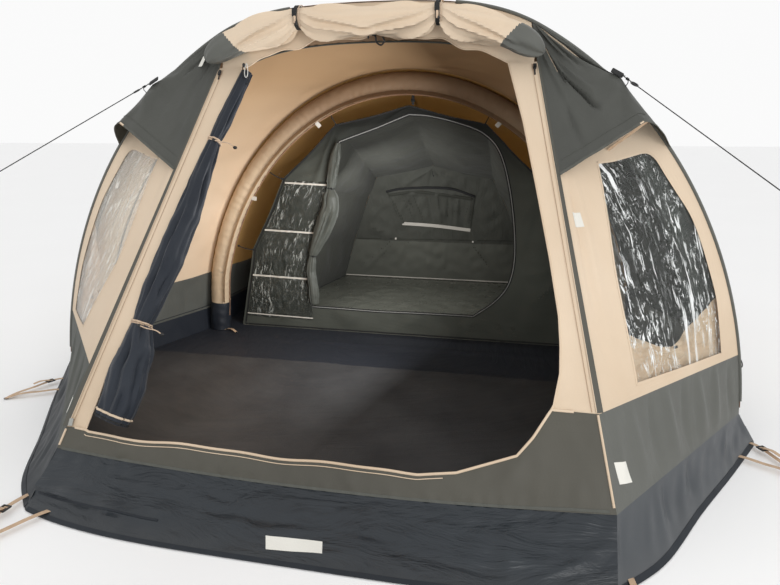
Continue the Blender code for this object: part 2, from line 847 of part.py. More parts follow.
# Vent hoods low on the walls behind the front arch

ventTop = 0.86
ventShares = (0.22, 0.4, 0.58)
ventSeat = 0.0056
ventReach = ((0.1, 0.0, -0.25), (0.2, -0.02, -0.22), (0.1, 0.0, -0.25))


def addVentHoods():
    """A small grey hood over a vent in each wall between the front and the middle arch."""
    top = []
    for share in ventShares:
        ends = []
        for line in (bandArch, midArch):
            ends.append([np.interp(ventTop, line[:meetRow, 2], line[:meetRow, axis]) for axis in (0, 1)])
        x, y = np.array(ends[0]) * (1 - share) + np.array(ends[1]) * share
        top.append((x + ventSeat, y, ventTop))
    top = np.array(top)
    tip = top + np.array(ventReach)
    grid = np.stack([tip, (tip + top) / 2 + np.array([0.01, 0.0, 0.01]), top], axis=0)
    panelPair("vent_hood", grid, greyRipstop, 0.003, False)


# Guy lines, each from the front arch's hood to a peg

guyFoot = np.array([3.2, -3.4, 0.02])
guyRadius = 0.0022
guySeat = np.array([0.001, -0.0027, 0.0009])
pegRadius = 0.004
pegSeat = 0.0053
pegTop = 0.07


def addGuys():
    """A taut line on each side and the peg that it is tied to, cut off at the ground."""
    start = guyPoint + guySeat
    way = guyFoot - start
    way[2] = 0.0
    peg = guyFoot + way / np.linalg.norm(way) * pegSeat
    for side, sign in (("right", 1.0), ("left", -1.0)):
        flip = np.array([sign, 1.0, 1.0])
        tube("guy_" + side, [start * flip, guyFoot * flip], guyRadius, blackCord, None, 2)
        ends = [(peg[0] * sign, peg[1], 0.001), (peg[0] * sign, peg[1], pegTop)]
        tube("guy_peg_" + side, ends, pegRadius, pegSteel, None, 2)


# Webbing straps that peg the front corners down, each a flat V from the skirt's edge to its peg

strapHalfWidth = 0.0125
strapThickness = 0.002
strapHeight = 0.0032
strapGap = 0.0006
strapTip = 0.012
straps = {
    "front": ((1.255, -2.232), (1.09, -2.32), (1.28, -2.69)),
    "side": ((2.025, -1.08), (1.93, -1.235), (2.16, -1.374)),
}


def crossing(firstPoint, firstWay, secondPoint, secondWay):
    """Where two lines on the ground cross."""
    matrix = np.array([firstWay, -np.array(secondWay)]).T
    along = np.linalg.solve(matrix, np.array(secondPoint) - np.array(firstPoint))[0]
    return np.array(firstPoint) + np.array(firstWay) * along


def footLine(point):
    """The stretch of the skirt's edge nearest to a point on the ground, just outside it, and its direction."""
    x = np.linspace(0.0, frontFeetX, 7)
    edge = np.concatenate([np.stack([x, frontFeetLine(x)], axis=1), np.array(cornerFeet)[1:]])
    middle = (edge[1:] + edge[:-1]) / 2
    nearest = np.argmin(np.linalg.norm(middle - np.array(point), axis=1))
    way = (edge[nearest + 1] - edge[nearest]) / np.linalg.norm(edge[nearest + 1] - edge[nearest])
    return edge[nearest] + np.array([way[1], -way[0]]) * strapGap, way


def addStraps():
    """Both legs start on the skirt's edge and meet at the peg, with the notch between them cut out."""
    for name, (outer, inner, peg) in straps.items():
        legs = []
        for start in (outer, inner):
            way = np.array(peg) - np.array(start)
            way = way / np.linalg.norm(way)
            across = np.array([-way[1], way[0]]) * strapHalfWidth
            foot, along = footLine(start)
            edges = [crossing(np.array(start) + across * k, way, foot, along) for k in (1, -1)]
            tips = [np.array(peg) + across * k + way * strapTip for k in (1, -1)]
            legs.append((way, edges, tips))
        (outerWay, outerEdges, outerTips), (innerWay, innerEdges, innerTips) = legs
        crotch = crossing(outerEdges[1], outerWay, innerEdges[0], innerWay)
        outline = outerEdges + [crotch] + innerEdges + [innerTips[1], outerTips[0]]
        for side, sign in (("right", 1.0), ("left", -1.0)):
            ring = [(x * sign, y) for x, y in outline]
            strap = flatPiece("strap_" + name + "_" + side, (ring,), strapThickness, webbing)
            strap.location = (0.0, 0.0, strapHeight)


cutWindows(*addSidePanels())
addFrontPanels()
addFrontHeader()
addDoorSill()
addArchCover()
addMidBay()
addRearBay()
addRearWall()
addSkirts()
addGroundsheet()
addBeams()
addDoorRoll()
addMeshRoll()
addHoods()
addCabinCanopy()
addCabinFront()
addCabinFloor()
addCabinFittings()
addCurtains()
addVentHoods()
addGuys()
addStraps()
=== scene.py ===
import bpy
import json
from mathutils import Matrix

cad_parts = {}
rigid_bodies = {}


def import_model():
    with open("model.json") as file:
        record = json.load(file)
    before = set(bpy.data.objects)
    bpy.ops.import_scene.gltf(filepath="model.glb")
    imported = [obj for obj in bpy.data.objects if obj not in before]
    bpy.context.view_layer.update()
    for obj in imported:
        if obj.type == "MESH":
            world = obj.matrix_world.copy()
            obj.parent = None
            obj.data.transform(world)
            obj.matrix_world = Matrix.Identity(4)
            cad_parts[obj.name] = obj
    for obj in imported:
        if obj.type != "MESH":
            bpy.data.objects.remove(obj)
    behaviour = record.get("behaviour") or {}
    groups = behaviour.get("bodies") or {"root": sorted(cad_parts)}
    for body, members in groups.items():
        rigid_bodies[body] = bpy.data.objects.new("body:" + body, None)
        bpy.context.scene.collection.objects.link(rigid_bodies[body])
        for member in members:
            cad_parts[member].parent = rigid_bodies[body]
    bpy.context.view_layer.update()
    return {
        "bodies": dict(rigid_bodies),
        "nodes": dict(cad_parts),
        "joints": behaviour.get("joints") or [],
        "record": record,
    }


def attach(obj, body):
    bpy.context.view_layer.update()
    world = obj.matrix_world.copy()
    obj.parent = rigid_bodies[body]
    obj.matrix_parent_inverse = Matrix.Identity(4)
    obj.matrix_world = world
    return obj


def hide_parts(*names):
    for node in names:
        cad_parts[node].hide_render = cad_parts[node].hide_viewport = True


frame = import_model()

import json
import math

import bpy
import numpy as np
from mathutils import Vector

# Air tent with a zipped front slope, three air arches and a hung cabin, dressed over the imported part.
# Metres, +Z up, the door faces -Y.

camera = {"place": (0.779, -4.15, 1.5675), "tiltDown": 15.2, "turnLeft": 11.8, "focalPixels": 600,
    "pictureWidth": 780}


# Small tools: every shape is worked out as whole arrays

def unit(way):
    return way / np.maximum(np.linalg.norm(way, axis=-1, keepdims=True), 1e-12)


def evenly(count):
    return np.linspace(0, 1, count)


def angles(count):
    return np.linspace(0, 2 * math.pi, count, endpoint=False)


def mixed(first, last, share):
    return first * (1 - share) + last * share


def easeInOut(share):
    # 3s^2 - 2s^3 of a share held between 0 and 1
    share = np.clip(share, 0, 1)
    return share * share * (3 - 2 * share)


def bell(distance, width):
    # exp(-(distance / width)^2)
    return np.exp(-((distance / width) ** 2))


def arched(share, power=1):
    # sin(pi s)^power of a share held between 0 and 1: nothing at both ends, 1 in the middle
    return np.clip(np.sin(math.pi * np.clip(share, 0, 1)), 0, 1) ** power


def distances(points):
    # How far each point is from the first one along the line
    return np.concatenate([[0], np.cumsum(np.linalg.norm(np.diff(points, axis=0), axis=1))])


def readAt(place, stops, values):
    # Rows of values read between their stops
    return np.stack([np.interp(place, stops, column) for column in np.asarray(values, float).T], axis=-1)


def lineThrough(points, count):
    # Straight runs through the points, read at evenly spaced shares of their length
    knots = distances(np.asarray(points, float))
    return readAt(np.linspace(0, knots[-1], count), knots, points)


def curveThrough(points, count):
    # Catmull-Rom curve through the points, read at evenly spaced shares of its chord length
    points = np.asarray(points, float)
    ends = np.concatenate([2 * points[:1] - points[1:2], points, 2 * points[-1:] - points[-2:-1]])
    knots = distances(points)
    place = np.linspace(0, knots[-1], count)
    index = np.clip(np.searchsorted(knots, place, side="right") - 1, 0, len(points) - 2)
    t = ((place - knots[index]) / np.diff(knots)[index])[:, None]
    a, b, c, d = (ends[index + step] for step in range(4))
    return 0.5 * (2 * b + (c - a) * t + (2 * a - 5 * b + 4 * c - d) * t**2 + (3 * b - a - 3 * c + d) * t**3)


def gridNormals(grid, around=False):
    # Cross product of the steps along the rows and up the columns; around wraps the columns
    across = np.roll(grid, -1, axis=1) - np.roll(grid, 1, axis=1) if around else np.gradient(grid, axis=1)
    return unit(np.cross(across, np.gradient(grid, axis=0)))


def pushed(grid, height):
    # The grid moved along its own normals by a height at each point
    return grid + gridNormals(grid) * np.asarray(height)[..., None]


def between(first, last, columns):
    # Straight threads from each point of one edge to the same point of the other
    return mixed(first[:, None], last[:, None], evenly(columns)[None, :, None])


def ripple(u, v, seed, size, count=9, stretch=1):
    # Soft noise near -1 to 1: waves of about one size, in seeded directions; stretch makes them longer up v
    draw = np.random.default_rng(seed)
    total = 0
    for wave in range(count):
        way = draw.uniform(0, math.pi)
        length = size * draw.uniform(0.65, 1.6)
        phase = draw.uniform(0, 2 * math.pi)
        total = total + np.sin(2 * math.pi * (u * math.cos(way) + v / stretch * math.sin(way)) / length
            + phase)
    return total / math.sqrt(count)


def ridges(u, v, folds):
    # Each fold is a soft ridge along a line: (u, v) of both ends, its half width and its height
    total = 0
    for startU, startV, endU, endV, width, height in folds:
        alongU, alongV = endU - startU, endV - startV
        length = math.hypot(alongU, alongV)
        share = np.clip(((u - startU) * alongU + (v - startV) * alongV) / length**2, 0, 1)
        away = ((u - startU) * alongV - (v - startV) * alongU) / length
        total = total + height * arched(share, 0.7) * bell(away, width * (0.6 + 0.8 * share))
    return total


def looseFolds(seed, count, low, high, way, spread, length, width, height):
    # Seeded folds inside a box of the cloth, near one direction (radians from u), of about the sizes given
    draw = np.random.default_rng(seed)
    folds = []
    for fold in range(count):
        u, v = draw.uniform(low[0], high[0]), draw.uniform(low[1], high[1])
        turn = way + draw.normal(0, spread)
        reach = length * draw.uniform(0.5, 1.4)
        rise = height * draw.uniform(0.4, 1.2) * draw.choice((-1, 1))
        end = (u + reach * math.cos(turn), v + reach * math.sin(turn))
        folds.append((u, v, *end, width * draw.uniform(0.6, 1.6), rise))
    return folds


def fanFolds(seed, count, centre, fromWay, toWay, length, width, height):
    # Folds that leave one point like a fan between two directions
    draw = np.random.default_rng(seed)
    folds = []
    for way in np.linspace(fromWay, toWay, count):
        turn = way + draw.normal(0, abs(toWay - fromWay) / count * 0.25)
        reach = length * draw.uniform(0.6, 1.2)
        end = (centre[0] + reach * math.cos(turn), centre[1] + reach * math.sin(turn))
        folds.append((*centre, *end, width * draw.uniform(0.7, 1.4), height * draw.uniform(0.6, 1.2)))
    return folds


def edgeFade(rows, columns, reach=0.12, ends=True):
    # 0 at the sides, and at the ends too if asked, and 1 a reach away, in shares of the panel
    u, v = evenly(columns)[None, :], evenly(rows)[:, None]
    fade = easeInOut(u / reach) * easeInOut((1 - u) / reach) * np.ones_like(v)
    return fade * easeInOut(v / reach) * easeInOut((1 - v) / reach) if ends else fade


# Patches of mesh: points, faces, each corner's place on the cloth in metres, and caps

def closedUp(rows):
    # The first column once more after the last one
    return np.concatenate([rows, rows[:, :1]], axis=1)


def numbered(table):
    return np.arange(table.shape[0] * table.shape[1]).reshape(table.shape[:2])


def facesOf(index):
    return np.stack([index[:-1, :-1], index[:-1, 1:], index[1:, 1:], index[1:, :-1]], axis=-1).reshape(-1, 4)


def clothPlaces(grid, around=False):
    # Distances along each row from its middle and up the mean column, as a flat map of the cloth
    grid = closedUp(grid) if around else grid
    u = np.cumsum(np.linalg.norm(np.diff(grid, axis=1, prepend=grid[:, :1]), axis=2), axis=1)
    v = np.cumsum(np.linalg.norm(np.diff(grid, axis=0, prepend=grid[:1]), axis=2).mean(axis=1))
    return np.stack(np.broadcast_arrays(u - u[:, u.shape[1] // 2, None], v[:, None]), axis=-1)


def metric(grid):
    # (u, v) of each point in metres from the lower left corner
    places = clothPlaces(grid)
    return places[..., 0] - places[:, :1, 0], places[..., 1]


def patch(points, faces, places, spots, material=0):
    return {"points": points, "faces": faces, "places": places.reshape(-1, 2)[spots],
        "material": np.broadcast_to(material, len(faces)).copy(), "caps": []}


def shell(grid, thickness=0.0014, around=False, inside=1, poleClosed=False):
    # The outer face is the grid, the inner one the grid moved in along its normals; rims close the edges
    places = clothPlaces(grid, around)
    outer = closedUp(numbered(grid)) if around else numbered(grid)
    inner, spots = outer + grid.shape[0] * grid.shape[1], numbered(places)
    sets = [(facesOf(outer), facesOf(spots), 0), (facesOf(inner)[:, ::-1], facesOf(spots)[:, ::-1], inside)]
    edges = [np.s_[0, :], np.s_[-1, ::-1], np.s_[::-1, 0], np.s_[:, -1]]
    for cut in edges[int(poleClosed):2 if around else 4]:
        a, b, c = outer[cut], inner[cut], spots[cut]
        sets.append((np.stack([a[:-1], b[:-1], b[1:], a[1:]], axis=-1),
            np.stack([c[:-1], c[:-1], c[1:], c[1:]], axis=-1), 0))
    points = np.concatenate([grid, grid - gridNormals(grid, around) * thickness]).reshape(-1, 3)
    material = np.concatenate([np.full(len(faces), which) for faces, corners, which in sets])
    made = patch(points, np.concatenate([faces for faces, corners, which in sets]), places,
        np.concatenate([corners for faces, corners, which in sets]), material)
    if poleClosed:
        made["caps"] = [(outer[0, :-1][::-1], 0), (inner[0, :-1], inside)]
    return made


def ringed(grid, material, closed=False):
    # Rings of points as a closed skin; the ends are capped unless the last ring joins the first
    index, places = closedUp(numbered(grid)), clothPlaces(grid, True)
    if closed:
        index = np.concatenate([index, index[:1]])
        places = np.concatenate([places, 2 * places[-1:] - places[-2:-1]])
    made = patch(grid.reshape(-1, 3), facesOf(index), places, facesOf(numbered(places)), material)
    if not closed:
        made["caps"] = [(index[0, :-1][::-1], material), (index[-1, :-1], material)]
    return made


def along(path, profile, facing=(0, 0, 1), closed=False, scale=1, material=0):
    # A profile (side, height) carried along a path; its height axis leans towards the facing direction
    path = np.asarray(path, float)
    steps = np.roll(path, -1, axis=0) - np.roll(path, 1, axis=0) if closed else np.gradient(path, axis=0)
    tangent = unit(steps)
    side = unit(np.cross(np.broadcast_to(facing, path.shape), tangent))
    height = np.cross(tangent, side)
    profile = profile * np.broadcast_to(scale, len(path))[:, None, None]
    return ringed(path[:, None] + side[:, None] * profile[..., :1] + height[:, None] * profile[..., 1:],
        material, closed)


def roundSection(size, turn):
    return np.stack([size * np.cos(turn), size * np.sin(turn)], axis=-1)


def roundProfile(radius, sides=8, flatness=1):
    return roundSection(radius, angles(sides)) * (1, flatness)


def flatProfile(width, thickness):
    # A band's section with its corners taken off; the lower side sits on the path
    half, bevel = width / 2, min(width, thickness) * 0.25
    right = [(half - bevel, 0), (half, bevel), (half, thickness - bevel), (half - bevel, thickness)]
    return np.array(right + [(-x, z) for x, z in right[::-1]])


def tapeOn(grid, cut, width, thickness, material, lift=0.0004):
    # A flat tape sewn on the cloth along a part of one row or column
    out = gridNormals(grid)[cut]
    return along(grid[cut] + out * lift, flatProfile(width, thickness), out, material=material)


def bead(centre, radius, stretch=(1, 1, 1), material=0):
    # A ball: rings of latitude round a centre, its two poles closed by small caps
    level, turn = np.linspace(0.12, math.pi - 0.12, 8)[::-1, None], angles(12)
    ball = np.stack(np.broadcast_arrays(np.sin(level) * np.cos(turn), np.sin(level) * np.sin(turn),
        np.cos(level)), axis=-1)
    return ringed(np.asarray(centre) + radius * ball * stretch, material)


def block(centre, size, xWay, yWay, bevel=0.3, material=0):
    # A small plate with rounded corners: a rounded outline carried through its thickness, edges taken off
    xWay, yWay = unit(np.asarray(xWay, float)), unit(np.asarray(yWay, float))
    zWay = unit(np.cross(xWay, yWay))
    outline = roundSection(1, angles(24))
    outline = np.sign(outline) * np.abs(outline) ** (2 / (2 + 10 * (1 - bevel)))
    levels = np.array([(-0.5, 0.9), (-0.36, 1), (0.36, 1), (0.5, 0.9)])[:, :, None, None]
    flat = levels[:, 1] * outline * np.array(size[:2]) / 2
    return ringed(np.asarray(centre) + flat[..., :1] * xWay + flat[..., 1:] * np.cross(zWay, xWay)
        + levels[:, 0] * size[2] * zWay, material)


def onSide(side, patches):
    # The patches for one side; on the left they are mirrored and their faces turned back outwards
    if side == "right":
        return patches
    return [{**made, "points": made["points"] * (-1, 1, 1), "faces": made["faces"][:, ::-1],
        "places": made["places"][:, ::-1], "caps": [(corners[::-1], which) for corners,
        which in made["caps"]]} for made in patches]


def addPiece(name, patches, finishes, nodes=(), side="right"):
    # One mesh from all the patches, with its map of the cloth, riding on the tent
    points, corners, sizes, places, which, start = [], [], [], [], [], 0
    for made in onSide(side, patches):
        spots = np.maximum(made["points"], (-np.inf, -np.inf, 0.001))
        points.append(spots)
        corners.append((made["faces"] + start).ravel())
        sizes.append(np.full(len(made["faces"]), 4))
        places.append(made["places"].reshape(-1, 2))
        which.append(made["material"])
        for cap, material in made["caps"]:
            corners.append(cap + start)
            sizes.append([len(cap)])
            places.append((spots[cap] - spots[cap].mean(axis=0))[:, (0, 2)])
            which.append([material])
        start += len(spots)
    corners, sizes = np.concatenate(corners), np.concatenate(sizes)
    mesh = bpy.data.meshes.new(name)
    mesh.vertices.add(start)
    mesh.loops.add(len(corners))
    mesh.polygons.add(len(sizes))
    mesh.vertices.foreach_set("co", np.concatenate(points).astype(np.float32).ravel())
    mesh.loops.foreach_set("vertex_index", corners.astype(np.int32))
    mesh.polygons.foreach_set("loop_start", (np.cumsum(sizes) - sizes).astype(np.int32))
    mesh.polygons.foreach_set("material_index", np.concatenate(which).astype(np.int32))
    mesh.uv_layers.new(name="cloth").data.foreach_set("uv",
        np.concatenate(places).astype(np.float32).ravel())
    for finish in finishes:
        mesh.materials.append(finish)
    mesh.update(calc_edges=True)
    mesh.validate()
    mesh.shade_smooth()
    mesh.set_sharp_from_angle(angle=math.radians(38))
    piece = bpy.data.objects.new(name, mesh)
    bpy.context.scene.collection.objects.link(piece)
    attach(piece, "root")
    if nodes:
        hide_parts(*nodes)
    return piece


def gridArea(grid):
    low, high = grid[:-1, :-1], grid[1:, 1:]
    halves = [np.cross(grid[:-1, 1:] - low, high - low), np.cross(high - low, grid[1:, :-1] - low)]
    return float(sum(np.linalg.norm(half, axis=-1).sum() for half in halves) / 2)


def addCloth(node, patches, finishes, grid, side="right", box=None, kind="cloth",
        nodes=None):
    # A sheet of cloth as one piece; its flat cut, the grid's greatest width and length or the box given, and
    # its area are worked out but not kept
    piece = addPiece(node + "_" + kind, patches, finishes, nodes or [node], side)
    width = np.linalg.norm(np.diff(grid, axis=1), axis=2).sum(axis=1).max()
    length = np.linalg.norm(np.diff(grid, axis=0), axis=2).sum(axis=0).max()
    flat, area = box or (float(width), float(length)), gridArea(grid)
    flat = (flat[0], max(flat[1], area / flat[0]))


# Finishes

def paint(colour):
    # A colour given as it shows on a screen, 0 to 255, as linear light
    shown = np.array(colour) / 255
    linear = np.where(shown <= 0.04045, shown / 12.92, ((shown + 0.055) / 1.055) ** 2.4)
    return (*linear.tolist(), 1)


def fill(tree, node, inputs):
    # Each input takes a value, or a link from the socket that feeds it
    for key, value in inputs.items():
        if hasattr(value, "is_linked"):
            tree.links.new(value, node.inputs[key])
        else:
            node.inputs[key].default_value = value
    return node


def addNode(tree, kind, inputs, **settings):
    made = tree.nodes.new(kind)
    for key, value in settings.items():
        setattr(made, key, value)
    return fill(tree, made, inputs)


def calculated(tree, operation, first, second):
    return addNode(tree, "ShaderNodeMath", {0: first, 1: second}, operation=operation).outputs[0]


def blended(tree, share, low, high):
    return addNode(tree, "ShaderNodeMix", {0: share, 6: low, 7: high}, data_type="RGBA").outputs[2]


def spread(tree, source, low, high, outLow=0, outHigh=1):
    return addNode(tree, "ShaderNodeMapRange", {0: source, 1: low, 2: high, 3: outLow,
        4: outHigh}).outputs[0]


def noiseOn(tree, source, scale, detail=3, stretch=(1, 1, 1), turn=0, roughness=0.55, distortion=0):
    mapping = addNode(tree, "ShaderNodeMapping", {"Vector": source, "Scale": stretch,
        "Rotation": (0, 0, turn)})
    return addNode(tree, "ShaderNodeTexNoise", {"Vector": mapping.outputs[0], "Scale": scale,
        "Detail": detail, "Roughness": roughness, "Distortion": distortion}).outputs["Fac"]


def bandsOn(tree, source, scale, way, **inputs):
    return addNode(tree, "ShaderNodeTexWave", {"Vector": source, "Scale": scale, **inputs},
        wave_type="BANDS", bands_direction=way).outputs["Fac"]


def weaveOn(tree, source, threads):
    # Two sets of threads, crossing at right angles, as one height
    across, up = (bandsOn(tree, source, threads, way, Distortion=0.6, Detail=1) for way in ("X", "Y"))
    return calculated(tree, "MAXIMUM", across, up)


def bumped(tree, heights):
    # Bump nodes in a chain: each height with its strength and its depth in metres
    before = {}
    for height, strength, depth in heights:
        bump = addNode(tree, "ShaderNodeBump", {"Height": height, "Strength": strength, "Distance": depth,
            **before})
        before = {"Normal": bump.outputs[0]}
    return bump.outputs[0]


def newFinish(name):
    # A material with its node tree, its shader and its two sets of places: on the cloth and in the tent
    material = bpy.data.materials.new(name)
    material.use_nodes = True
    tree = material.node_tree
    place = addNode(tree, "ShaderNodeTexCoord", {})
    return material, tree, tree.nodes["Principled BSDF"], place.outputs["UV"], place.outputs["Object"]


def mixedShader(tree, share, first, second):
    mix = addNode(tree, "ShaderNodeMixShader", {0: share, 1: first.outputs[0], 2: second.outputs[0]})
    fill(tree, tree.nodes["Material Output"], {"Surface": mix.outputs[0]})


def clothFinish(name, colour, tint, rough, threads=520, weave=0.15, clouds=1.6, ripstop=0, sheen=0,
        shine=0.3, crease=(0.25, 14, 0.004), stretch=(1, 1), turn=0, through=0, glow=(150, 146, 126),
        shade=None):
    # Woven cloth: tints in clouds, darker threads, creases and weave as bump, light that shines through.
    # Crease: strength, scale, depth; shade: axis, where it starts and is full, its colour, if it is patchy
    material, tree, shader, cloth, space = newFinish(name)
    dark = tuple(0.86 * part for part in paint(colour)[:3]) + (1,)
    weaving = weaveOn(tree, cloth, threads)
    cloudy = spread(tree, noiseOn(tree, space, clouds, 4), 0.32, 0.68)
    fine = spread(tree, noiseOn(tree, cloth, 260, 2), 0.35, 0.75, 0, 0.5)
    shown = blended(tree, fine, blended(tree, cloudy, paint(colour), paint(tint)), dark)
    if ripstop:
        shown = blended(tree, spread(tree, weaveOn(tree, cloth, ripstop), 0.93, 1, 0, 0.35), shown, dark)
    # A colour blended in along one axis of the tent: painted shade towards the top of some cloths; on others
    # a band across the groundsheet or patches towards the foot
    if shade:
        axis, start, full, shadeColour, patchy = shade
        share = spread(tree, addNode(tree, "ShaderNodeSeparateXYZ", {0: space}).outputs[axis], start, full)
        if patchy:
            patches = spread(tree, noiseOn(tree, space, 7, 5), 0.3, 0.7, 0.35, 1)
            share = calculated(tree, "MULTIPLY", share, patches)
        shown = blended(tree, share, shown, paint(shadeColour))
    gloss = spread(tree, noiseOn(tree, cloth, 9, 4), 0.3, 0.7, rough - 0.07, min(rough + 0.07, 1))
    strength, scale, depth = crease
    creases = noiseOn(tree, cloth, scale, 5, (*stretch, 1), turn, 0.6, 0.8)
    normal = bumped(tree, [(creases, strength, depth), (weaving, weave, 0.0003)])
    fill(tree, shader, {"Base Color": shown, "Roughness": gloss, "Normal": normal, "Sheen Weight": sheen,
        "Sheen Roughness": 0.5, "Specular IOR Level": shine})
    if through:
        glowing = addNode(tree, "ShaderNodeBsdfTranslucent", {"Color": paint(glow), "Normal": normal})
        mixedShader(tree, through, shader, glowing)
    return material


def plainFinish(name, colour, roughness, metallic=0, grain=120):
    # Moulded, metal or cord surfaces: clouded colour, fine grain as bump
    material, tree, shader, cloth, space = newFinish(name)
    noise = noiseOn(tree, cloth, grain, 4)
    tint = tuple(0.72 * part for part in paint(colour)[:3]) + (1,)
    fill(tree, shader, {"Base Color": blended(tree, spread(tree, noise, 0.35, 0.7), paint(colour), tint),
        "Roughness": spread(tree, noise, 0.3, 0.7, roughness - 0.08, roughness + 0.08), "Metallic": metallic,
        "Normal": bumped(tree, [(noise, 0.4, 0.0004)])})
    return material


def bandFinish(name, colour, dark, ribs):
    # Webbing and braid: close ribs across the band, slightly darker between them
    material, tree, shader, cloth, space = newFinish(name)
    wave = bandsOn(tree, cloth, ribs / 6.3, "DIAGONAL", Distortion=0.5)
    cloudy = spread(tree, noiseOn(tree, cloth, 25, 4), 0.3, 0.7, 0, 0.5)
    shown = blended(tree, cloudy, paint(colour), paint(dark))
    shown = blended(tree, spread(tree, wave, 0, 0.5, 0.45, 0), shown, paint(dark))
    fill(tree, shader, {"Base Color": shown, "Roughness": 0.75, "Normal": bumped(tree,
        [(wave, 0.5, 0.0004)])})
    return material


def filmFinish(name, pale, clear, turns, short, long, fine, hazeAndReflection):
    # Clear window film: see-through and crinkled as bump, with painted highlights: pale glossy streaks mixed
    # in along short and long upright creases in patches, over an even haze that partly stands for painted
    # reflection
    material, tree, shader, cloth, space = newFinish(name)
    shortNoise = noiseOn(tree, cloth, 44, 8, (1, 0.2, 1), turns[0], 0.72, 0.8)
    longNoise = noiseOn(tree, cloth, 22, 5, (1, 0.05, 1), turns[1], 0.66, 0.12)
    fineNoise = noiseOn(tree, cloth, 62, 4, (1, 0.5, 1), 0.4, 0.6, 1)
    normal = bumped(tree, [(shortNoise, 0.8, 0.012), (fineNoise, 0.4, 0.003)])
    fill(tree, shader, {"Base Color": paint(pale), "Roughness": 0.16, "Specular IOR Level": 0.8,
        "Coat Weight": 0.4, "Normal": normal})
    # The share of the pale glossy shader: the even haze and painted reflection, then the painted glints along
    # the creases
    total = hazeAndReflection
    for source, low, high, strength, broadScale, patchLow, patchHigh in (
        (shortNoise, 0.556, 0.6, short, 3.4, 0.42, 0.54),
        (longNoise, 0.596, 0.636, long, 2, 0.34, 0.48),
        (fineNoise, 0.56, 0.66, fine, 5, 0.48, 0.6),
    ):
        line = spread(tree, source, low, high, 0, strength)
        broad = noiseOn(tree, cloth, broadScale, 2, (1, 0.7, 1), 0.2)
        share = calculated(tree, "MULTIPLY", line, spread(tree, broad, patchLow, patchHigh, 0.08, 1))
        both = addNode(tree, "ShaderNodeMath", {0: share, 1: total}, operation="ADD", use_clamp=True)
        total = both.outputs[0]
    mixedShader(tree, total, addNode(tree, "ShaderNodeBsdfTransparent", {"Color": (*clear, 1)}), shader)
    return material


beigeCotton = clothFinish("beige cotton", (230, 211, 187), (221, 200, 174), 0.86, 420, sheen=0.1, shine=0.15,
    crease=(0.4, 7, 0.004), stretch=(1, 0.55), through=0.12, glow=(232, 200, 158),
    shade=(2, 0.75, 0.2, (205, 184, 158), True))
# Inner faces of the beige cotton: painted lighter than the outer face as painted light, and darker towards
# the top as painted shade
ceilingCotton = clothFinish("inner beige cotton, painted light and shade", (240, 216, 188), (229, 204, 174), 0.88, 420, shine=0.12,
    crease=(0.3, 5, 0.004), stretch=(1, 0.5), turn=0.5, through=0.1, glow=(236, 196, 146),
    shade=(2, 1, 1.9, (168, 138, 105), False))
curtainCotton = clothFinish("window curtain", (236, 206, 180), (222, 190, 162), 0.86, 420, shine=0.12,
    crease=(1, 11, 0.012), stretch=(0.5, 1.5), turn=0.5)
# The rear roof's inner face: the beige cotton painted amber as painted glow of light through it, besides its
# real translucency
backlitAmberCotton = clothFinish("beige cotton against the light", (208, 178, 128), (196, 164, 112), 0.88, 420,
    shine=0.1, crease=(0.25, 6, 0.004), through=0.46, glow=(238, 206, 142))
greyRipstop = clothFinish("grey ripstop", (96, 97, 92), (86, 87, 82), 0.6, ripstop=20, sheen=0.08,
    shine=0.35, crease=(0.6, 6, 0.01), stretch=(1.6, 0.5))
# The grey ripstop painted darker for the left side, as painted shade
greyLeft = clothFinish("grey ripstop, shaded side", (78, 80, 75), (70, 72, 67), 0.65, ripstop=20, shine=0.25,
    crease=(0.22, 9, 0.004))
hoodRipstop = clothFinish("hood ripstop", (80, 81, 76), (70, 71, 67), 0.58, ripstop=20, sheen=0.08,
    shine=0.35, crease=(0.6, 5, 0.012), stretch=(1, 0.7), through=0.1, glow=(130, 130, 115))
# Dark lining on the inner faces of hoods and covers; the same finish is painted shade on the mid bay's right
# inner wall
liningAndPaintedShade = clothFinish("dark lining, also painted shade", (62, 63, 58), (54, 55, 50), 0.7, shine=0.25, crease=(0.2, 14, 0.004))
sillRipstop = clothFinish("sill ripstop", (84, 82, 74), (74, 72, 65), 0.62, ripstop=20, sheen=0.06,
    crease=(0.25, 9, 0.004), stretch=(1.2, 0.6))
zipFlap = clothFinish("zip flap", (88, 86, 79), (76, 75, 69), 0.62, crease=(0.2, 14, 0.004))
navyCoated = clothFinish("navy coated", (27, 35, 42), (20, 27, 34), 0.42, ripstop=20, shine=0.55,
    crease=(1, 5, 0.02), stretch=(0.5, 1.6), shade=(2, 0.05, 0, (40, 43, 46), True))
# Lighter copies of the navy coating: painted sheen on the sides, kept darker on the left as painted shade,
# and lighter still in patches at the ground
navyShadedSheen = clothFinish("shaded navy coating, painted sheen", (46, 50, 54), (38, 42, 46), 0.55, ripstop=20,
    crease=(0.34, 8, 0.004), stretch=(0.7, 1.3))
navyPaintedSheen = clothFinish("navy coated, painted sheen", (66, 70, 74), (56, 60, 64), 0.38, ripstop=20, shine=0.55,
    crease=(0.34, 8, 0.004), stretch=(0.7, 1.3), shade=(2, 0.06, 0, (74, 76, 78), True))
navyHem = clothFinish("navy hem tape", (36, 41, 47), (30, 34, 40), 0.6, 700)
navyMesh = clothFinish("insect mesh", (36, 42, 51), (26, 31, 40), 0.6, 300, 0.4, sheen=0.12,
    crease=(0.6, 13, 0.006), stretch=(1.5, 0.4))
groundCloth = clothFinish("groundsheet", (70, 70, 71), (50, 50, 52), 0.5, 260, 0.3, 2.4, shine=0.35,
    crease=(0.4, 5, 0.008), shade=(1, -0.462, -0.458, (42, 45, 52), False))
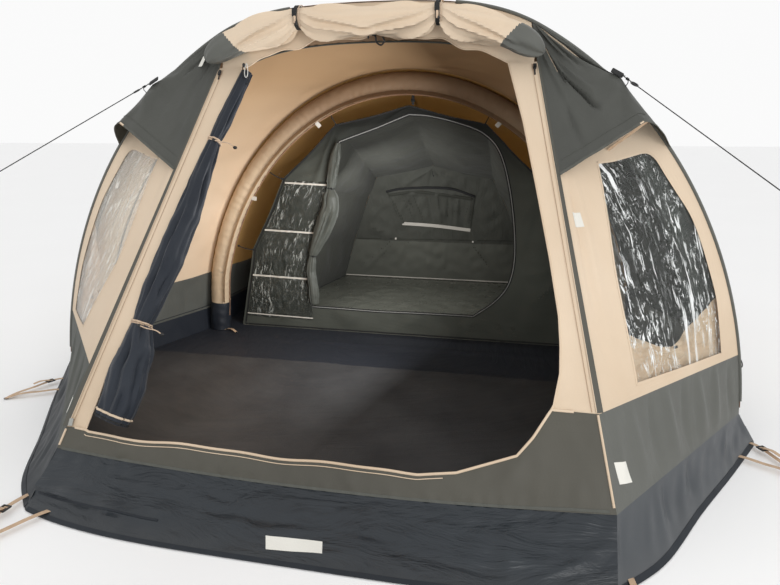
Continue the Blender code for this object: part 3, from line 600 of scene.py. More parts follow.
trayCloth = clothFinish("groundsheet wall", (38, 42, 50), (32, 36, 43), 0.5, 260, shine=0.4,
    crease=(0.35, 9, 0.004))
cabinCloth = clothFinish("cabin cloth", (92, 93, 86), (80, 81, 75), 0.72, sheen=0.1, crease=(0.9, 8, 0.014),
    stretch=(1.6, 0.4), through=0.25)
# The cabin cloth painted darker for the front wall as painted shade, and darker still, nearly black, towards
# its top
cabinFront = clothFinish("cabin front cloth", (84, 86, 79), (66, 68, 62), 0.72, sheen=0.06, shine=0.2,
    crease=(0.35, 6, 0.006), through=0.03, shade=(2, 1.2, 1.62, (30, 31, 28), False))
cabinCanopy = clothFinish("cabin ceiling cloth", (92, 93, 86), (74, 75, 69), 0.66, sheen=0.1,
    crease=(0.35, 4, 0.008), through=0.2)
cabinLow = clothFinish("cabin lower wall cloth", (116, 117, 108), (98, 99, 91), 0.6, sheen=0.1,
    crease=(0.5, 6, 0.01), stretch=(1.4, 0.5), turn=0.8, through=0.2)
cabinRoll = clothFinish("cabin door cloth", (82, 84, 78), (66, 68, 62), 0.55, sheen=0.1, shine=0.35,
    crease=(0.4, 8, 0.004), stretch=(1.6, 0.5))
cabinDark = clothFinish("cabin blackout cloth", (76, 77, 70), (60, 61, 56), 0.7, shine=0.25,
    crease=(0.3, 7, 0.005), through=0.25)
cabinFloorCloth = clothFinish("cabin floor", (112, 113, 104), (90, 91, 83), 0.3, 300, shine=0.5,
    crease=(0.6, 9, 0.01))
# Sleeve cloth, painted darker towards the top of the arches as painted shade
sleeveCloth = clothFinish("air arch sleeve", (216, 193, 164), (198, 174, 144), 0.72, 420,
    crease=(0.6, 11, 0.006), turn=0.7, through=0.04, glow=(214, 170, 110),
    shade=(2, 1.1, 1.75, (128, 103, 79), False))
# A grey copy of the sleeve cloth: painted shade for the runs that show behind the right window
sleeveShaded = clothFinish("air arch sleeve, painted shade", (84, 86, 82), (74, 76, 72), 0.72, 420, shine=0.2,
    crease=(0.4, 9, 0.004))
brownBinding = clothFinish("brown binding", (150, 116, 92), (132, 100, 78), 0.8, 700)
seamBrown = clothFinish("seam thread", (170, 142, 116), (150, 122, 98), 0.8, 700)
creamBinding = clothFinish("cream binding", (216, 196, 172), (198, 176, 150), 0.8, 700)
whiteTrim = clothFinish("white trim", (214, 208, 198), (196, 190, 180), 0.7, 700)
barePatch = clothFinish("bare patch", (228, 226, 218), (218, 216, 208), 0.55, 700, crease=(0.1, 14, 0.004))
# Pocket mesh: see-through, with a little haze and painted pale glints along its crinkles
pocketMesh = filmFinish("pocket mesh", (176, 178, 172), (0.66, 0.67, 0.65), (0.9, 0.3), 0.74, 0, 0.5, 0.06)
# Right film with painted glints; the left one with a strong pale haze that stands partly for painted
# reflection of the pale surroundings
clearFilm = {
    "right": filmFinish("clear film", (250, 252, 251), (0.91, 0.93, 0.92), (0.1, -0.22),
        0.86, 0.95, 0.6, 0.03),
    "left": filmFinish("clear film with haze and painted reflection", (232, 228, 220), (0.95, 0.95, 0.94), (-0.08, -0.03),
        0.5, 0.9, 0.3, 0.32),
}
beigeWebbing = bandFinish("beige webbing", (206, 178, 148), (150, 122, 98), 900)
blackWebbing = bandFinish("black webbing", (30, 30, 30), (14, 14, 14), 900)
blackBraid = bandFinish("black cord", (30, 31, 32), (12, 12, 12), 2600)
beigeBraid = bandFinish("beige elastic", (214, 190, 164), (160, 134, 112), 2600)
whiteBraid = bandFinish("white cord", (224, 222, 216), (150, 148, 142), 2600)
greyTape = bandFinish("grey tape", (86, 87, 81), (66, 67, 62), 1400)
zipSilver = plainFinish("zip teeth", (168, 168, 162), 0.4, 0.3, 900)
zipGrey = plainFinish("zip teeth, grey", (150, 150, 146), 0.5, 0, 900)
blackPlastic = plainFinish("black plastic", (28, 28, 29), 0.35)
steelWire = plainFinish("steel wire", (190, 190, 188), 0.3, 1, 150)
print("finishes made")


# The seam lines of the tent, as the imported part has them

tent = {
    "skirtTop": 0.162, "bandTop": 0.474, "hoodHem": 1.45, "hoodHemPillar": 1.365, "archMeet": 2.08,
    "pillarFootX": 1.216, "pillarLean": 0.2145, "frontFootY": -2.05, "frontSlope": 0.647,
    "frontHemSag": 0.035, "coverDepth": 0.2,
}
frontArch = {"width": 1.96, "height": 2.28, "footY": -1.05, "lean": 0.0658, "dip": 0.085, "dipReach": 0.434}
midArch = {"width": 1.62, "height": 1.965, "footY": 0.12, "lean": 0, "dip": 0, "dipReach": 1}
rearArch = {"width": 1.5, "height": 1.42, "footY": 2.31, "lean": -0.397, "dip": 0, "dipReach": 1}
slopeOut = (0, -0.84, 0.543)


def crownDip(share, arch):
    # dip * (1 - (share / reach)^2)^2: how far the crown sinks under the rolled door
    return arch["dip"] * np.clip(1 - (share / arch["dipReach"]) ** 2, 0, None) ** 2


def crownZ(x):
    # The front arch's height over a place across the tent
    share = x / frontArch["width"]
    return frontArch["height"] * np.sqrt(1 - share**2) - crownDip(share, frontArch)


def archAt(arch, rise, moved=0):
    # Ellipse read by rise: 0 skirt, 1 band, 2 hood hem, 3 pillar top, 4 crown, on to 8 at the far foot
    rise = np.asarray(rise, float)
    far = rise > 4
    shares = [tent["skirtTop"] / arch["height"], tent["bandTop"] / arch["height"],
        tent["hoodHem"] / frontArch["height"], tent["archMeet"] / frontArch["height"], 1]
    angle = np.interp(np.where(far, 8 - rise, rise), np.arange(5), np.arcsin(shares))
    x = arch["width"] * np.cos(angle)
    z = arch["height"] * np.sin(angle) - crownDip(x / arch["width"], arch)
    return np.stack([np.where(far, -x, x), arch["footY"] + arch["lean"] * z + moved, z], axis=-1)


def frontY(z):
    # The front slope, until it turns up into the plane of the front arch
    slope = tent["frontFootY"] + tent["frontSlope"] * (z - tent["skirtTop"])
    return np.minimum(slope, frontArch["footY"] + frontArch["lean"] * z)


def pillarX(z):
    return tent["pillarFootX"] - tent["pillarLean"] * (z - tent["skirtTop"])


def pillarAt(rise):
    # The seam beside the door by rise, 0 at the skirt to 3 where it meets the front arch
    stops = (tent["skirtTop"], tent["bandTop"], tent["hoodHemPillar"], tent["archMeet"])
    z = np.interp(rise, (0, 1, 2, 3), stops)
    return np.stack([pillarX(z), frontY(z), z], axis=-1)


def leaning(x, y, z, slope, lift):
    # A place on a leaning plane, moved out along the plane's normal by a lift
    out = np.array([0, -1, slope]) / math.hypot(1, slope)
    return np.stack(np.broadcast_arrays(x, y, z), axis=-1) + out * np.asarray(lift, float)[..., None]


def onSlope(x, z, lift=0):
    return leaning(x, frontY(z), z, tent["frontSlope"], lift)


# Side panels with their windows, curtains and grey bands

sidePanel = {
    "topRise": 2.93, "sag": 0.022, "bandSag": 0.012, "facing": (0.72, -0.63, 0.37),
    "windowLow": {"right": ((0.865, 1.03), (0.55, 1.035), (0.24, 1.045)),
                  "left": ((0.865, 1.03), (0.68, 1.03), (0.5, 1.04))},
    "windowLeft": {"right": ((0.24, 1.045), (0.25, 1.27), (0.257, 1.4), (0.272, 1.567), (0.33, 1.849),
                             (0.379, 2.043)),
                   "left": ((0.5, 1.04), (0.422, 1.19), (0.335, 1.375), (0.305, 1.47), (0.316, 1.664),
                            (0.359, 1.88), (0.385, 2.043))},
    "windowTop": ((0.379, 2.043), (0.497, 2.038), (0.588, 2.041), (0.698, 2.047), (0.778, 2.051)),
    "windowRight": ((0.778, 2.051), (0.829, 2.041), (0.862, 2), (0.87, 1.92), (0.884, 1.827), (0.906, 1.71),
                    (0.908, 1.6), (0.904, 1.45), (0.904, 1.3), (0.89, 1.19), (0.865, 1.03)),
    "bindingWidth": 0.012, "acrossMetres": 1.13, "upMetres": 0.78,
}
sideOut = unit(np.array(sidePanel["facing"]))
panelSize = np.array([sidePanel["acrossMetres"], sidePanel["upMetres"]])
sideFolds = {
    "right": [
        (0.11, 0.82, 0.09, 0.12, 0.022, -0.01), (0.17, 0.8, 0.15, 0.2, 0.03, 0.008),
        (0.05, 0.75, 0.03, 0.1, 0.024, 0.006), (1.05, 0.1, 1.03, 0.7, 0.03, 0.005),
        (0.02, 0.4, 0.26, 0.02, 0.03, 0.006), (0.04, 0.2, 0.3, 0, 0.024, -0.005),
    ],
    "left": [
        (0.1, 1.5, 0.08, 0.2, 0.035, 0.005), (0.18, 1.4, 0.2, 0.4, 0.03, -0.004),
        (1.02, 0.1, 0.9, 0.9, 0.04, 0.004),
    ],
}


def sideAt(u, rise):
    # Straight threads from the pillar's seam (u 0) to the front arch (u 1), at any rise
    return mixed(pillarAt(rise), archAt(frontArch, rise), np.asarray(u)[..., None])


def sideCloth(u, rise, side):
    # The panel as it hangs: threads, sag between its seams, its folds and a slight ripple
    across, v = u * panelSize[0], (rise - 1) * panelSize[1]
    hung = arched(u, 0.8) * arched((rise - 1) / 2, 0.7)
    height = -sidePanel["sag"] * hung + ridges(across, v, sideFolds[side]) * np.minimum(hung * 3, 1)
    height = height + ripple(across, v, 11 if side == "right" else 12, 0.22, stretch=2.5) * 0.0016 * hung
    return sideAt(u, rise) + sideOut * height[..., None]


def curvedShares(points, count):
    # A curve through shares of the panel, evenly spaced by its length on the cloth
    return curveThrough(np.array(points) * panelSize, count) / panelSize


def windowSides(count, side):
    # The window's four edges as shares of the panel: low from the right, left going up, top, right going down
    edges = [sidePanel["windowLow"][side], sidePanel["windowLeft"][side], sidePanel["windowTop"],
        sidePanel["windowRight"]]
    if side == "left":
        edges[2] = edges[1][-1:] + edges[2][1:]
    return [curvedShares(points, count) for points in edges]


def sidePanelGrid(side):
    # A ring: rows run from the window's edge out to the panel's seams, columns once round
    count, top = 46, sidePanel["topRise"]
    inner = np.concatenate([edge[:-1] for edge in windowSides(count, side)])
    corners = np.array([(1, 1), (0, 1), (0, top), (1, top), (1, 1)])
    outer = mixed(corners[:-1, None], corners[1:, None], evenly(count)[:-1, None]).reshape(-1, 2)
    shares = mixed(inner, outer, evenly(24)[:, None, None])
    return sideCloth(shares[..., 0], shares[..., 1], side), inner


def filmGrid(side):
    # A Coons patch of the window's four edges, let out a little behind them, with crinkles
    rows, columns = 112, 66
    low, left, top, right = windowSides(80, side)
    low, left, top, right = (readAt(evenly(count), evenly(80), edge) for edge, count in (
        (low[::-1], columns), (left, rows), (top, columns), (right[::-1], rows)))
    s, t = evenly(columns)[:, None], evenly(rows)[:, None, None]
    shares = mixed(low, top, t) + mixed(left[:, None], right[:, None], s)
    shares = shares - mixed(mixed(low[0], low[-1], s), mixed(top[0], top[-1], s), t)
    middle = shares.reshape(-1, 2).mean(axis=0)
    shares = middle + (shares - middle) * (1.03, 1.02)
    u, v = np.moveaxis((shares - (0, 1)) * panelSize, -1, 0)
    if side == "right":
        crease = ripple(u, v, 31, 0.09, 12, 3) * 0.0024 + np.abs(ripple(u, v, 32, 0.05, 10, 3.4)) * 0.0028
        folds = [(0.63, 0.93, 0.66, 0.1, 0.016, 0.014), (0.83, 0.62, 0.76, 0.1, 0.02, 0.012),
            (0.45, 0.75, 0.6, 0.08, 0.022, 0.01), (0.52, 0.95, 0.48, 0.3, 0.02, -0.01)]
        folds += looseFolds(31, 20, (0.35, 0.1), (0.95, 0.8), 1.5, 0.25, 0.35, 0.012, 0.006)
    else:
        crease = ripple(u, v, 41, 0.1, 10, 4) * 0.002 + np.abs(ripple(u, v, 42, 0.06, 8, 5)) * 0.0014
        folds = looseFolds(41, 12, (0.35, 0.05), (0.9, 0.5), 1.6, 0.12, 0.7, 0.022, 0.01)
    height = (crease + ridges(u, v, folds)) * edgeFade(rows, columns, 0.1) - 0.0022
    return sideCloth(shares[..., 0], shares[..., 1], side) + sideOut * height[..., None]


curtain = {
    "right": {"toggle": (0.549, 1.136), "low": ((0.13, 0.995), (0.55, 0.995), (0.97, 0.995)),
              "top": ((0.13, 1.31), (0.255, 1.267), (0.4, 1.2), (0.52, 1.146), (0.6, 1.146), (0.737, 1.205),
                      (0.916, 1.288), (0.97, 1.3))},
    "left": {"toggle": (0.53, 1.2), "low": ((0.13, 0.995), (0.55, 0.995), (0.97, 0.995)),
             "top": ((0.13, 1.62), (0.25, 1.5), (0.4, 1.32), (0.5, 1.22), (0.58, 1.22), (0.72, 1.34),
                     (0.9, 1.5), (0.97, 1.54))},
    "behind": 0.02,
}


def curtainGrid(side):
    # Threads from the lower edge to the gathered top edge, folded like a fan from the toggle
    look, seed = curtain[side], 51 if side == "right" else 52
    shares = mixed(curvedShares(look["low"], 90), curvedShares(look["top"], 90), evenly(44)[:, None, None])
    u, v = np.moveaxis(shares * panelSize, -1, 0)
    toggle = np.array(look["toggle"]) * panelSize
    folds = fanFolds(seed, 8, toggle, math.radians(165), math.radians(255), 0.46, 0.015, -0.03)
    folds += fanFolds(seed + 2, 5, toggle, math.radians(-65), math.radians(35), 0.36, 0.016, -0.02)
    height = ridges(u, v, folds) - 0.004 + ripple(u, v, seed, 0.1) * 0.002
    near = bell(np.hypot(u - toggle[0], v - toggle[1]), 0.035)
    height = np.clip(height * (1 - 0.5 * near), -0.034, 0.0085) - curtain["behind"]
    return sideCloth(shares[..., 0], np.clip(shares[..., 1], 0.97, 3), side) + sideOut * height[..., None]


def labelPatch(surface, corners, material, columns=6):
    # A bare patch sewn on: four corners given as shares of a surface, blended between, just above it
    first, second, third, fourth = np.array(corners)
    s = evenly(columns)[:, None]
    shares = mixed(mixed(first, second, s), mixed(fourth, third, s), evenly(6)[:, None, None])
    made = shell(pushed(surface(shares[..., 0], shares[..., 1]), 0.0012), 0.0008, inside=0)
    made["material"][:] = material
    return made


bandSide = {
    "right": [(0.08, 0.02, 0.1, 0.34, 0.03, 0.004), (0.2, 0.32, 0.24, 0, 0.035, 0.007),
              (0.34, 0.33, 0.36, 0, 0.03, -0.006), (0.47, 0.34, 0.5, 0, 0.035, 0.008),
              (0.62, 0.34, 0.6, 0, 0.03, -0.006), (0.74, 0.34, 0.76, 0, 0.035, 0.008),
              (0.9, 0.34, 0.88, 0, 0.03, 0.007), (1.02, 0.33, 1.04, 0, 0.02, -0.005)],
    "left": [(0.1, 0, 0.12, 0.3, 0.03, 0.004), (0.26, 0.33, 0.28, 0, 0.03, -0.005),
             (0.5, 0.34, 0.48, 0, 0.035, 0.006), (0.8, 0.3, 0.82, 0, 0.03, 0.005)],
}
bandLabel = {
    "right": ((0.045, 0.24), (0.119, 0.175), (0.098, 0.418), (0.034, 0.472)),
    "left": ((0.178, 0.19), (0.238, 0.165), (0.211, 0.4), (0.15, 0.425)),
}


def sideBand(u, rise, side):
    # The grey band below the panel, with the soft upright folds that its slack makes
    hung = arched(u, 0.7) * arched(rise, 0.7)
    folds = ridges(u * panelSize[0], rise * 0.34, bandSide[side])
    height = -sidePanel["bandSag"] * hung + 2.4 * folds * np.minimum(2 * hung + 0.25, 1)
    height = height * np.clip(np.minimum(u, 1 - u) / 0.04, 0, 1)
    return sideAt(u, rise) + sideOut * height[..., None]


def makeSides():
    for side in ("right", "left"):
        grid, inner = sidePanelGrid(side)
        panel = "side_panel_" + side
        binding = sideCloth(inner[:, 0], inner[:, 1], side)
        seam = unit(np.roll(binding, -1, axis=0) - np.roll(binding, 1, axis=0))
        hem = binding - np.cross(sideOut, seam) * 0.006 + sideOut * 0.0003
        patches = [shell(grid, around=True), along(hem, flatProfile(sidePanel["bindingWidth"], 0.0012),
            sideOut, True)]
        if side == "right":
            patches.append(labelPatch(lambda u, rise: sideCloth(u, rise, "right"),
                ((0.07, 1.752), (0.127, 1.745), (0.122, 1.812), (0.066, 1.82)), 2))
        addCloth(panel, patches, [beigeCotton, ceilingCotton, barePatch], closedUp(grid),
            side, (1.2, 1.35))
        film = filmGrid(side)
        addCloth("side_window_" + side, [shell(film, 0.0008, inside=0)], [clearFilm[side]],
            film[::6, ::6], side, kind="film")
        drape = curtainGrid(side)
        addCloth("window_curtain_" + side, [shell(drape, 0.0009, inside=0)], [curtainCotton],
            drape[::5, ::5], side)
        band = sideBand(evenly(110)[None], evenly(34)[:, None], side)
        patches = [shell(band), labelPatch(lambda u, rise: sideBand(u, rise, side), bandLabel[side], 2)]
        # The left band takes the darker copy of the grey ripstop, painted shade
        addCloth("side_lower_" + side, patches, [greyRipstop if side == "right" else greyLeft, greyRipstop,
            barePatch], band[::4, ::4],
            side)
    print("sides made")


makeSides()


# Front slope: the strips beside the doorway, the header over it and the sill with its bound edge

door = {
    "sides": ((0.7, 0.99), (0.807, 0.98), (1.023, 0.935), (1.312, 0.865), (1.606, 0.79), (1.889, 0.702)),
    "foot": {"right": ((0.215, 0.45), (0.235, 0.602), (0.311, 0.837), (0.376, 0.897), (0.488, 0.97),
        (0.6, 0.992)),
             "left": ((0.24, 1.092), (0.372, 1.068), (0.474, 1.057), (0.566, 1.027))},
    "top": 2.03, "topDrop": 0.141, "topHalf": 0.702, "stripTop": 1.889, "headerReach": 0.83,
    "stripFoot": {"right": tent["bandTop"], "left": 0.24},
    "sill": ((-1.2, 0.24), (-0.9, 0.226), (0.45, 0.215)), "secondLine": 0.019,
}


def doorEdge(z, side):
    stops = np.array(door["foot"][side] + door["sides"])
    return np.interp(z, stops[:, 0], stops[:, 1])


def frontHem(x):
    return tent["skirtTop"] - tent["frontHemSag"] * (1 - np.minimum(np.abs(x) / tent["pillarFootX"], 1) ** 2)


def stripGrid(side):
    z = np.linspace(door["stripFoot"][side], door["stripTop"], 90)[:, None]
    share = evenly(12)[None]
    x = mixed(doorEdge(z, side), pillarX(z) - 0.0006, share)
    waves = ripple(x, z, 61 if side == "right" else 62, 0.16, stretch=3)
    return onSlope(x, z, (waves * 0.003 - 0.004) * arched(share))


def headerGrid():
    # From the wavy top edge of the doorway up to the front arch and the pillar seams
    x = np.linspace(-door["headerReach"], door["headerReach"], 130)[None, :]
    seamTop = tent["skirtTop"] + (tent["pillarFootX"] - np.abs(x)) / tent["pillarLean"]
    top = np.minimum(crownZ(x), seamTop)
    low = door["top"] - door["topDrop"] * (np.abs(x) / door["topHalf"]) ** 2.4
    low = np.minimum(np.where(np.abs(x) > door["topHalf"], door["stripTop"], low), top - 0.004)
    wave = 0.01 * np.sin(x * 21 + 0.7) + 0.006 * np.sin(x * 37)
    t = evenly(22)[:, None]
    z = mixed(low, top, t) + wave * (1 - t) * easeInOut((door["topHalf"] - np.abs(x)) / 0.1)
    folds = looseFolds(64, 16, (-0.7, 0), (0.7, 0.1), 1.5, 0.5, 0.2, 0.03, 0.01)
    return onSlope(x, z, (ripple(x, z, 63, 0.15) * 0.003 + ridges(x, z - low, folds)) * arched(t) - 0.0035)


sillFolds = [
    (-0.92, 0.14, -0.84, 0.23, 0.03, 0.012), (-0.62, 0.14, -0.7, 0.23, 0.035, -0.012),
    (-0.4, 0.13, -0.34, 0.23, 0.03, 0.013), (-0.1, 0.13, -0.2, 0.22, 0.04, -0.01),
    (0.15, 0.13, 0.2, 0.22, 0.035, 0.01), (0.42, 0.13, 0.36, 0.22, 0.03, -0.009),
    (0.72, 0.15, 0.9, 0.36, 0.04, 0.009), (0.95, 0.16, 0.98, 0.44, 0.04, -0.008),
]


def sillGrid():
    # Columns from the left pillar to the right one; the top edge is the doorway's lower edge
    across = np.linspace(-1, 1, 200)
    hem = np.stack([across * tent["pillarFootX"], frontHem(across * tent["pillarFootX"])], axis=1)
    ledge = np.linspace(-1.08, 0.45, 120)
    ledge = np.stack([ledge, np.interp(ledge, *np.array(door["sill"]).T)], axis=1)
    curve = [(x, z) for z, x in door["foot"]["right"][1:4]]
    top = lineThrough([(-pillarX(0.245), 0.245), (-1.092, 0.24), *ledge, *curve, (0.964, tent["bandTop"]),
        (pillarX(tent["bandTop"]), tent["bandTop"])], 200)
    t = evenly(36)[:, None]
    x, z = np.moveaxis(mixed(hem, top, t[..., None]), -1, 0)
    fade, sides = arched(t, 0.6), easeInOut((1 - np.abs(across)) / 0.06)[None]
    puckers = np.sin(x * 95 + 2 * np.sin(x * 9)) * 0.0022 * bell(t - 0.12, 0.16)
    height = (ridges(x, z, sillFolds) + ripple(x, z, 65, 0.14, stretch=1.4) * 0.0035) * fade * sides
    height = height + puckers * sides
    height = np.where(height < 0, np.tanh(height / 0.006) * 0.004, height) + 0.004 * fade * sides
    wave = (0.004 * np.sin(x * 9) + 0.002 * np.sin(x * 19 + 1)) * t * sides * easeInOut((0.5 - x) / 0.2)
    return onSlope(x, z + wave, height)


def piping(path, radius, material):
    # A bound edge on the front slope
    return along(path, roundProfile(radius), slopeOut, material=material)


def slopeTape(path, width, thickness, lift, material, scale=1):
    # A flat tape on the front slope
    return along(path + np.array(slopeOut) * lift, flatProfile(width, thickness), slopeOut, scale=scale,
        material=material)


def makeFront():
    for side in ("right", "left"):
        grid = stripGrid(side)
        z = np.linspace(door["stripFoot"][side] + (0.004 if side == "right" else 0.005),
            door["stripTop"] - 0.01, 110)
        wide = np.interp(z, (0.24, 0.5, 1.9), (0.027, 0.024, 0.013))
        flapX = pillarX(z) + 0.004
        patches = [shell(grid), piping(grid[:, 0] + (0.002, 0, 0), 0.0038, 2),
            slopeTape(onSlope(pillarX(z) - 0.028, z), 0.0022, 0.001, 0.0005, 3),
            slopeTape(onSlope(flapX, z, 0.0022), 1, 0.08, 0, 4, wide),
            slopeTape(onSlope(flapX - wide / 2 - 0.0012, z, 0.0026), 0.0034, 0.0022, 0, 2)]
        addCloth("front_panel_" + side, patches, [beigeCotton, ceilingCotton, creamBinding, seamBrown,
            zipFlap], grid[::4], side)
    grid = headerGrid()
    patches = [shell(grid), piping(grid[0][np.abs(grid[0, :, 0]) < door["topHalf"]], 0.0036, 2)]
    addCloth("front_header", patches, [beigeCotton, ceilingCotton, creamBinding],
        grid[:, ::4])
    grid = sillGrid()
    edge = grid[-1, 4:-8]
    patches = [shell(grid), along(onSlope(edge[:, 0], edge[:, 2], 0.002), roundProfile(0.0056, 10, 0.8),
        slopeOut, material=2)]
    # A second thin line runs a little below the bound edge
    share = (1 - door["secondLine"] / np.linalg.norm(grid[-1] - grid[0], axis=1)) * (len(grid) - 1)
    row, column = share.astype(int), np.arange(grid.shape[1])
    second = mixed(grid[row, column], grid[row + 1, column], (share - row)[:, None])
    second = second[(second[:, 0] > -1.1) & (second[:, 0] < 0.56)]
    patches += [slopeTape(second, 0.0036, 0.002, 0.0008, 2), slopeTape(grid[1, 2:-2], 0.012, 0.0016, 0.0004,
        3)]
    for sign, low, high in ((1, 0.02, tent["bandTop"]), (-1, 0.012, door["stripFoot"]["left"])):
        z = np.linspace(tent["skirtTop"] + low, high - 0.004, 30)
        patches.append(piping(onSlope(sign * (pillarX(z) - 0.006), z, 0.002), 0.005, 2))
    addCloth("door_sill", patches, [sillRipstop, trayCloth, creamBinding, greyTape],
        grid[::2, ::6])
    print("front made")


makeFront()


# Hoods over the side windows

hood = {
    "corner": (1.399, -1.135, 1.59), "guyPoint": (1.24, -0.985, 1.812), "lift": 0.0034, "nearMeet": 2.98,
    "sag": 0.01, "rows": 54, "columns": 60, "backColumns": 20, "rounding": 70, "size": 0.62, "hemRise": 0.05,
    "peakAt": 0.84,
}
# Folds as shares across and up the hood: both ends, then half width and height in metres
hoodFolds = {
    "right": ((0.3, 1.02, 0.38, 0.5, 0.009, -0.034), (0.365, 0.66, 0.56, 0.22, 0.009, -0.034),
              (0.44, 0.7, 0.62, 0.34, 0.022, 0.018), (0.74, 1.04, 0.95, 0.42, 0.018, -0.045),
              (0.97, 0.4, 0.5, 0.68, 0.036, 0.013), (0.97, 0.36, 0.5, 0.32, 0.034, 0.009),
              (0.97, 0.36, 0.62, 0.06, 0.028, -0.009), (0.26, 0.08, 0.2, 0.62, 0.03, -0.009),
              (0.06, 0.8, 0.36, 0.97, 0.03, 0.007), (0.24, 0.42, 0.28, 0.04, 0.016, -0.012),
              (0.66, 0.9, 0.74, 0.52, 0.02, -0.014), (0.14, 0.98, 0.3, 0.4, 0.022, 0.02),
              (0.52, 0.98, 0.66, 0.56, 0.018, 0.016), (0.9, 0.3, 0.4, 0.2, 0.022, 0.014)),
    "left": ((0.97, 0.4, 0.4, 0.72, 0.035, 0.011), (0.97, 0.37, 0.36, 0.36, 0.04, -0.013),
             (0.95, 0.34, 0.56, 0.07, 0.03, 0.01), (0.34, 0.94, 0.36, 0.5, 0.024, -0.013),
             (0.62, 0.88, 0.7, 0.5, 0.024, -0.014), (0.16, 0.4, 0.22, 0.02, 0.026, -0.008)),
}


def hoodGrid(side):
    # Across: from the pillar's seam to the outer edge, round it, back to the front arch; up: hem to arch top
    rows, columns, lift = hood["rows"], hood["columns"], sideOut * hood["lift"]
    inner = pillarAt(np.linspace(2, hood["nearMeet"], rows)) + lift
    outer = lineThrough([hood["corner"], hood["guyPoint"], archAt(frontArch, 2.97) + lift], rows)
    near = archAt(frontArch, np.linspace(2.04, 2.97, rows)) + (0.004, 0.004, 0.002)
    sheet = np.concatenate([between(inner, outer, columns), between(outer, near,
        hood["backColumns"])[:, 1:]], axis=1)
    # The outer edge is rounded by evening out its neighbours many times, least of all at the line's point
    t = evenly(rows)[:, None]
    tip = t[np.argmin(np.linalg.norm(outer - hood["guyPoint"], axis=1))]
    soft = 0.5 * (1 - 0.92 * bell(t - tip, 0.12))[..., None]
    for turn in range(hood["rounding"]):
        sheet[:, 1:-1] = mixed(sheet[:, 1:-1], (sheet[:, :-2] + sheet[:, 2:]) / 2, soft)
    s = np.linspace(0, sheet.shape[1] / columns, sheet.shape[1])[None, :]
    u, v = s * hood["size"], t * hood["size"]
    folds = [(*np.array(fold[:4]) * hood["size"], *fold[4:]) for fold in hoodFolds[side]]
    waves = ripple(u, v, 71 if side == "right" else 72, 0.14, stretch=1.3)
    height = ridges(u, v, folds) + waves * 0.003 - hood["sag"] * np.sin(math.pi * t)
    sheet = pushed(sheet, height * arched(s / s.max(), 0.6) * np.clip((1 - t) / 0.12, 0, 1))
    # The hem runs straight up to a peak before the outer corner and drops away round it
    peak = np.interp(s, (0, hood["peakAt"], 1.05), (0, 1, 0))
    sheet[..., 2] += hood["hemRise"] * peak * (1 - t) ** 2
    return sheet


def makeHoods():
    for side in ("right", "left"):
        grid = hoodGrid(side)
        edge = grid[0, 47:53] + gridNormals(grid)[0, 47:53] * 0.0032 - (0, 0, 0.003)
        patches = [shell(grid), tapeOn(grid, np.s_[0, 1:-1], 0.014, 0.0028, 3),
            tapeOn(grid, np.s_[4, 3:56], 0.0022, 0.0016, 3), along(edge, flatProfile(0.009, 0.002),
            gridNormals(grid)[0, 47:53], material=2), along(grid[3:-2, 0] - sideOut * 0.0006,
            roundProfile(0.0042), sideOut, material=3)]
        addCloth("hood_" + side, patches, [hoodRipstop, liningAndPaintedShade, creamBinding, greyTape],
            grid[::2, ::3],
            side)
        guyPoint, inward = np.array(hood["guyPoint"]), unit(np.array([-0.55, 0.02, 0.3]))
        loop = lineThrough([guyPoint + inward * 0.03, guyPoint, guyPoint + (0.006, -0.008, -0.002)], 14)
        far = grid[0, int(hood["peakAt"] * hood["columns"]) + 1]
        near = sideCloth(0.51, 2.095, side) + sideOut * 0.004
        brace = lineThrough([far, mixed(far, near, 0.4) + sideOut * 0.002, near], 30)
        fittings = [block(guyPoint + inward * 0.028 + sideOut * 0.001, (0.062, 0.034, 0.005), inward,
            np.cross(sideOut, inward), 0.4), along(loop, flatProfile(0.018, 0.002), (0.3, -0.5, 0.8)),
            along(brace, flatProfile(0.016, 0.0018), sideOut, material=1)]
        addPiece("hood_" + side + "_fittings", fittings, [blackWebbing, beigeWebbing], side=side)
    print("hoods made")


makeHoods()


# Fly over the arches: front arch cover, mid bay, rear bay, bands and rear wall

fly = {"insideShadeTop": 1.55, "coverRise": 0.0035, "baySag": 0.03, "rearSag": 0.035, "bandSag": 0.012,
    "wallSag": 0.008}


def draped(grid, seed, sag, size, depth, folds, reach=0.1, ends=False):
    # The cloth sags between its first and last column, with ripples and folds that fade out at its edges
    rows, columns = grid.shape[:2]
    u, v = metric(grid)
    fade = edgeFade(rows, columns, reach, ends)
    return pushed(grid, (ripple(u, v, seed, size, 10) * depth + ridges(u, v, folds)) * fade
        - sag * arched(evenly(columns))[None])


def makeCover():
    # The front arch cover: a band of grey cloth over the front air arch, from foot to foot
    rises = np.linspace(0, 8, 220)
    grid = between(archAt(frontArch, rises), archAt(frontArch, rises, tent["coverDepth"]), 14)
    u, v = metric(grid)
    cover = pushed(grid, (fly["coverRise"] + ripple(u, v, 81, 0.12, 10,
        0.6) * 0.0022) * arched(evenly(14))[None])
    patches = [shell(cover)]
    # A thick grey piping closes the seam at the side panels
    edge = cover[:, 0] + gridNormals(cover)[:, 0] * 0.002
    for cut in (slice(6, 96), slice(-96, -6)):
        patches.append(along(edge[cut], roundProfile(0.0085), (0, -1, 0)))
    patches += [tapeOn(cover, np.s_[3:-3, 0], 0.01, 0.0022, 2, 0.0006),
        tapeOn(cover, np.s_[3:-3, -1], 0.012, 0.0022, 3, 0.0006)]
    addCloth("front_arch_cover", patches, [greyRipstop, liningAndPaintedShade, brownBinding, greyTape],
        cover[::5])


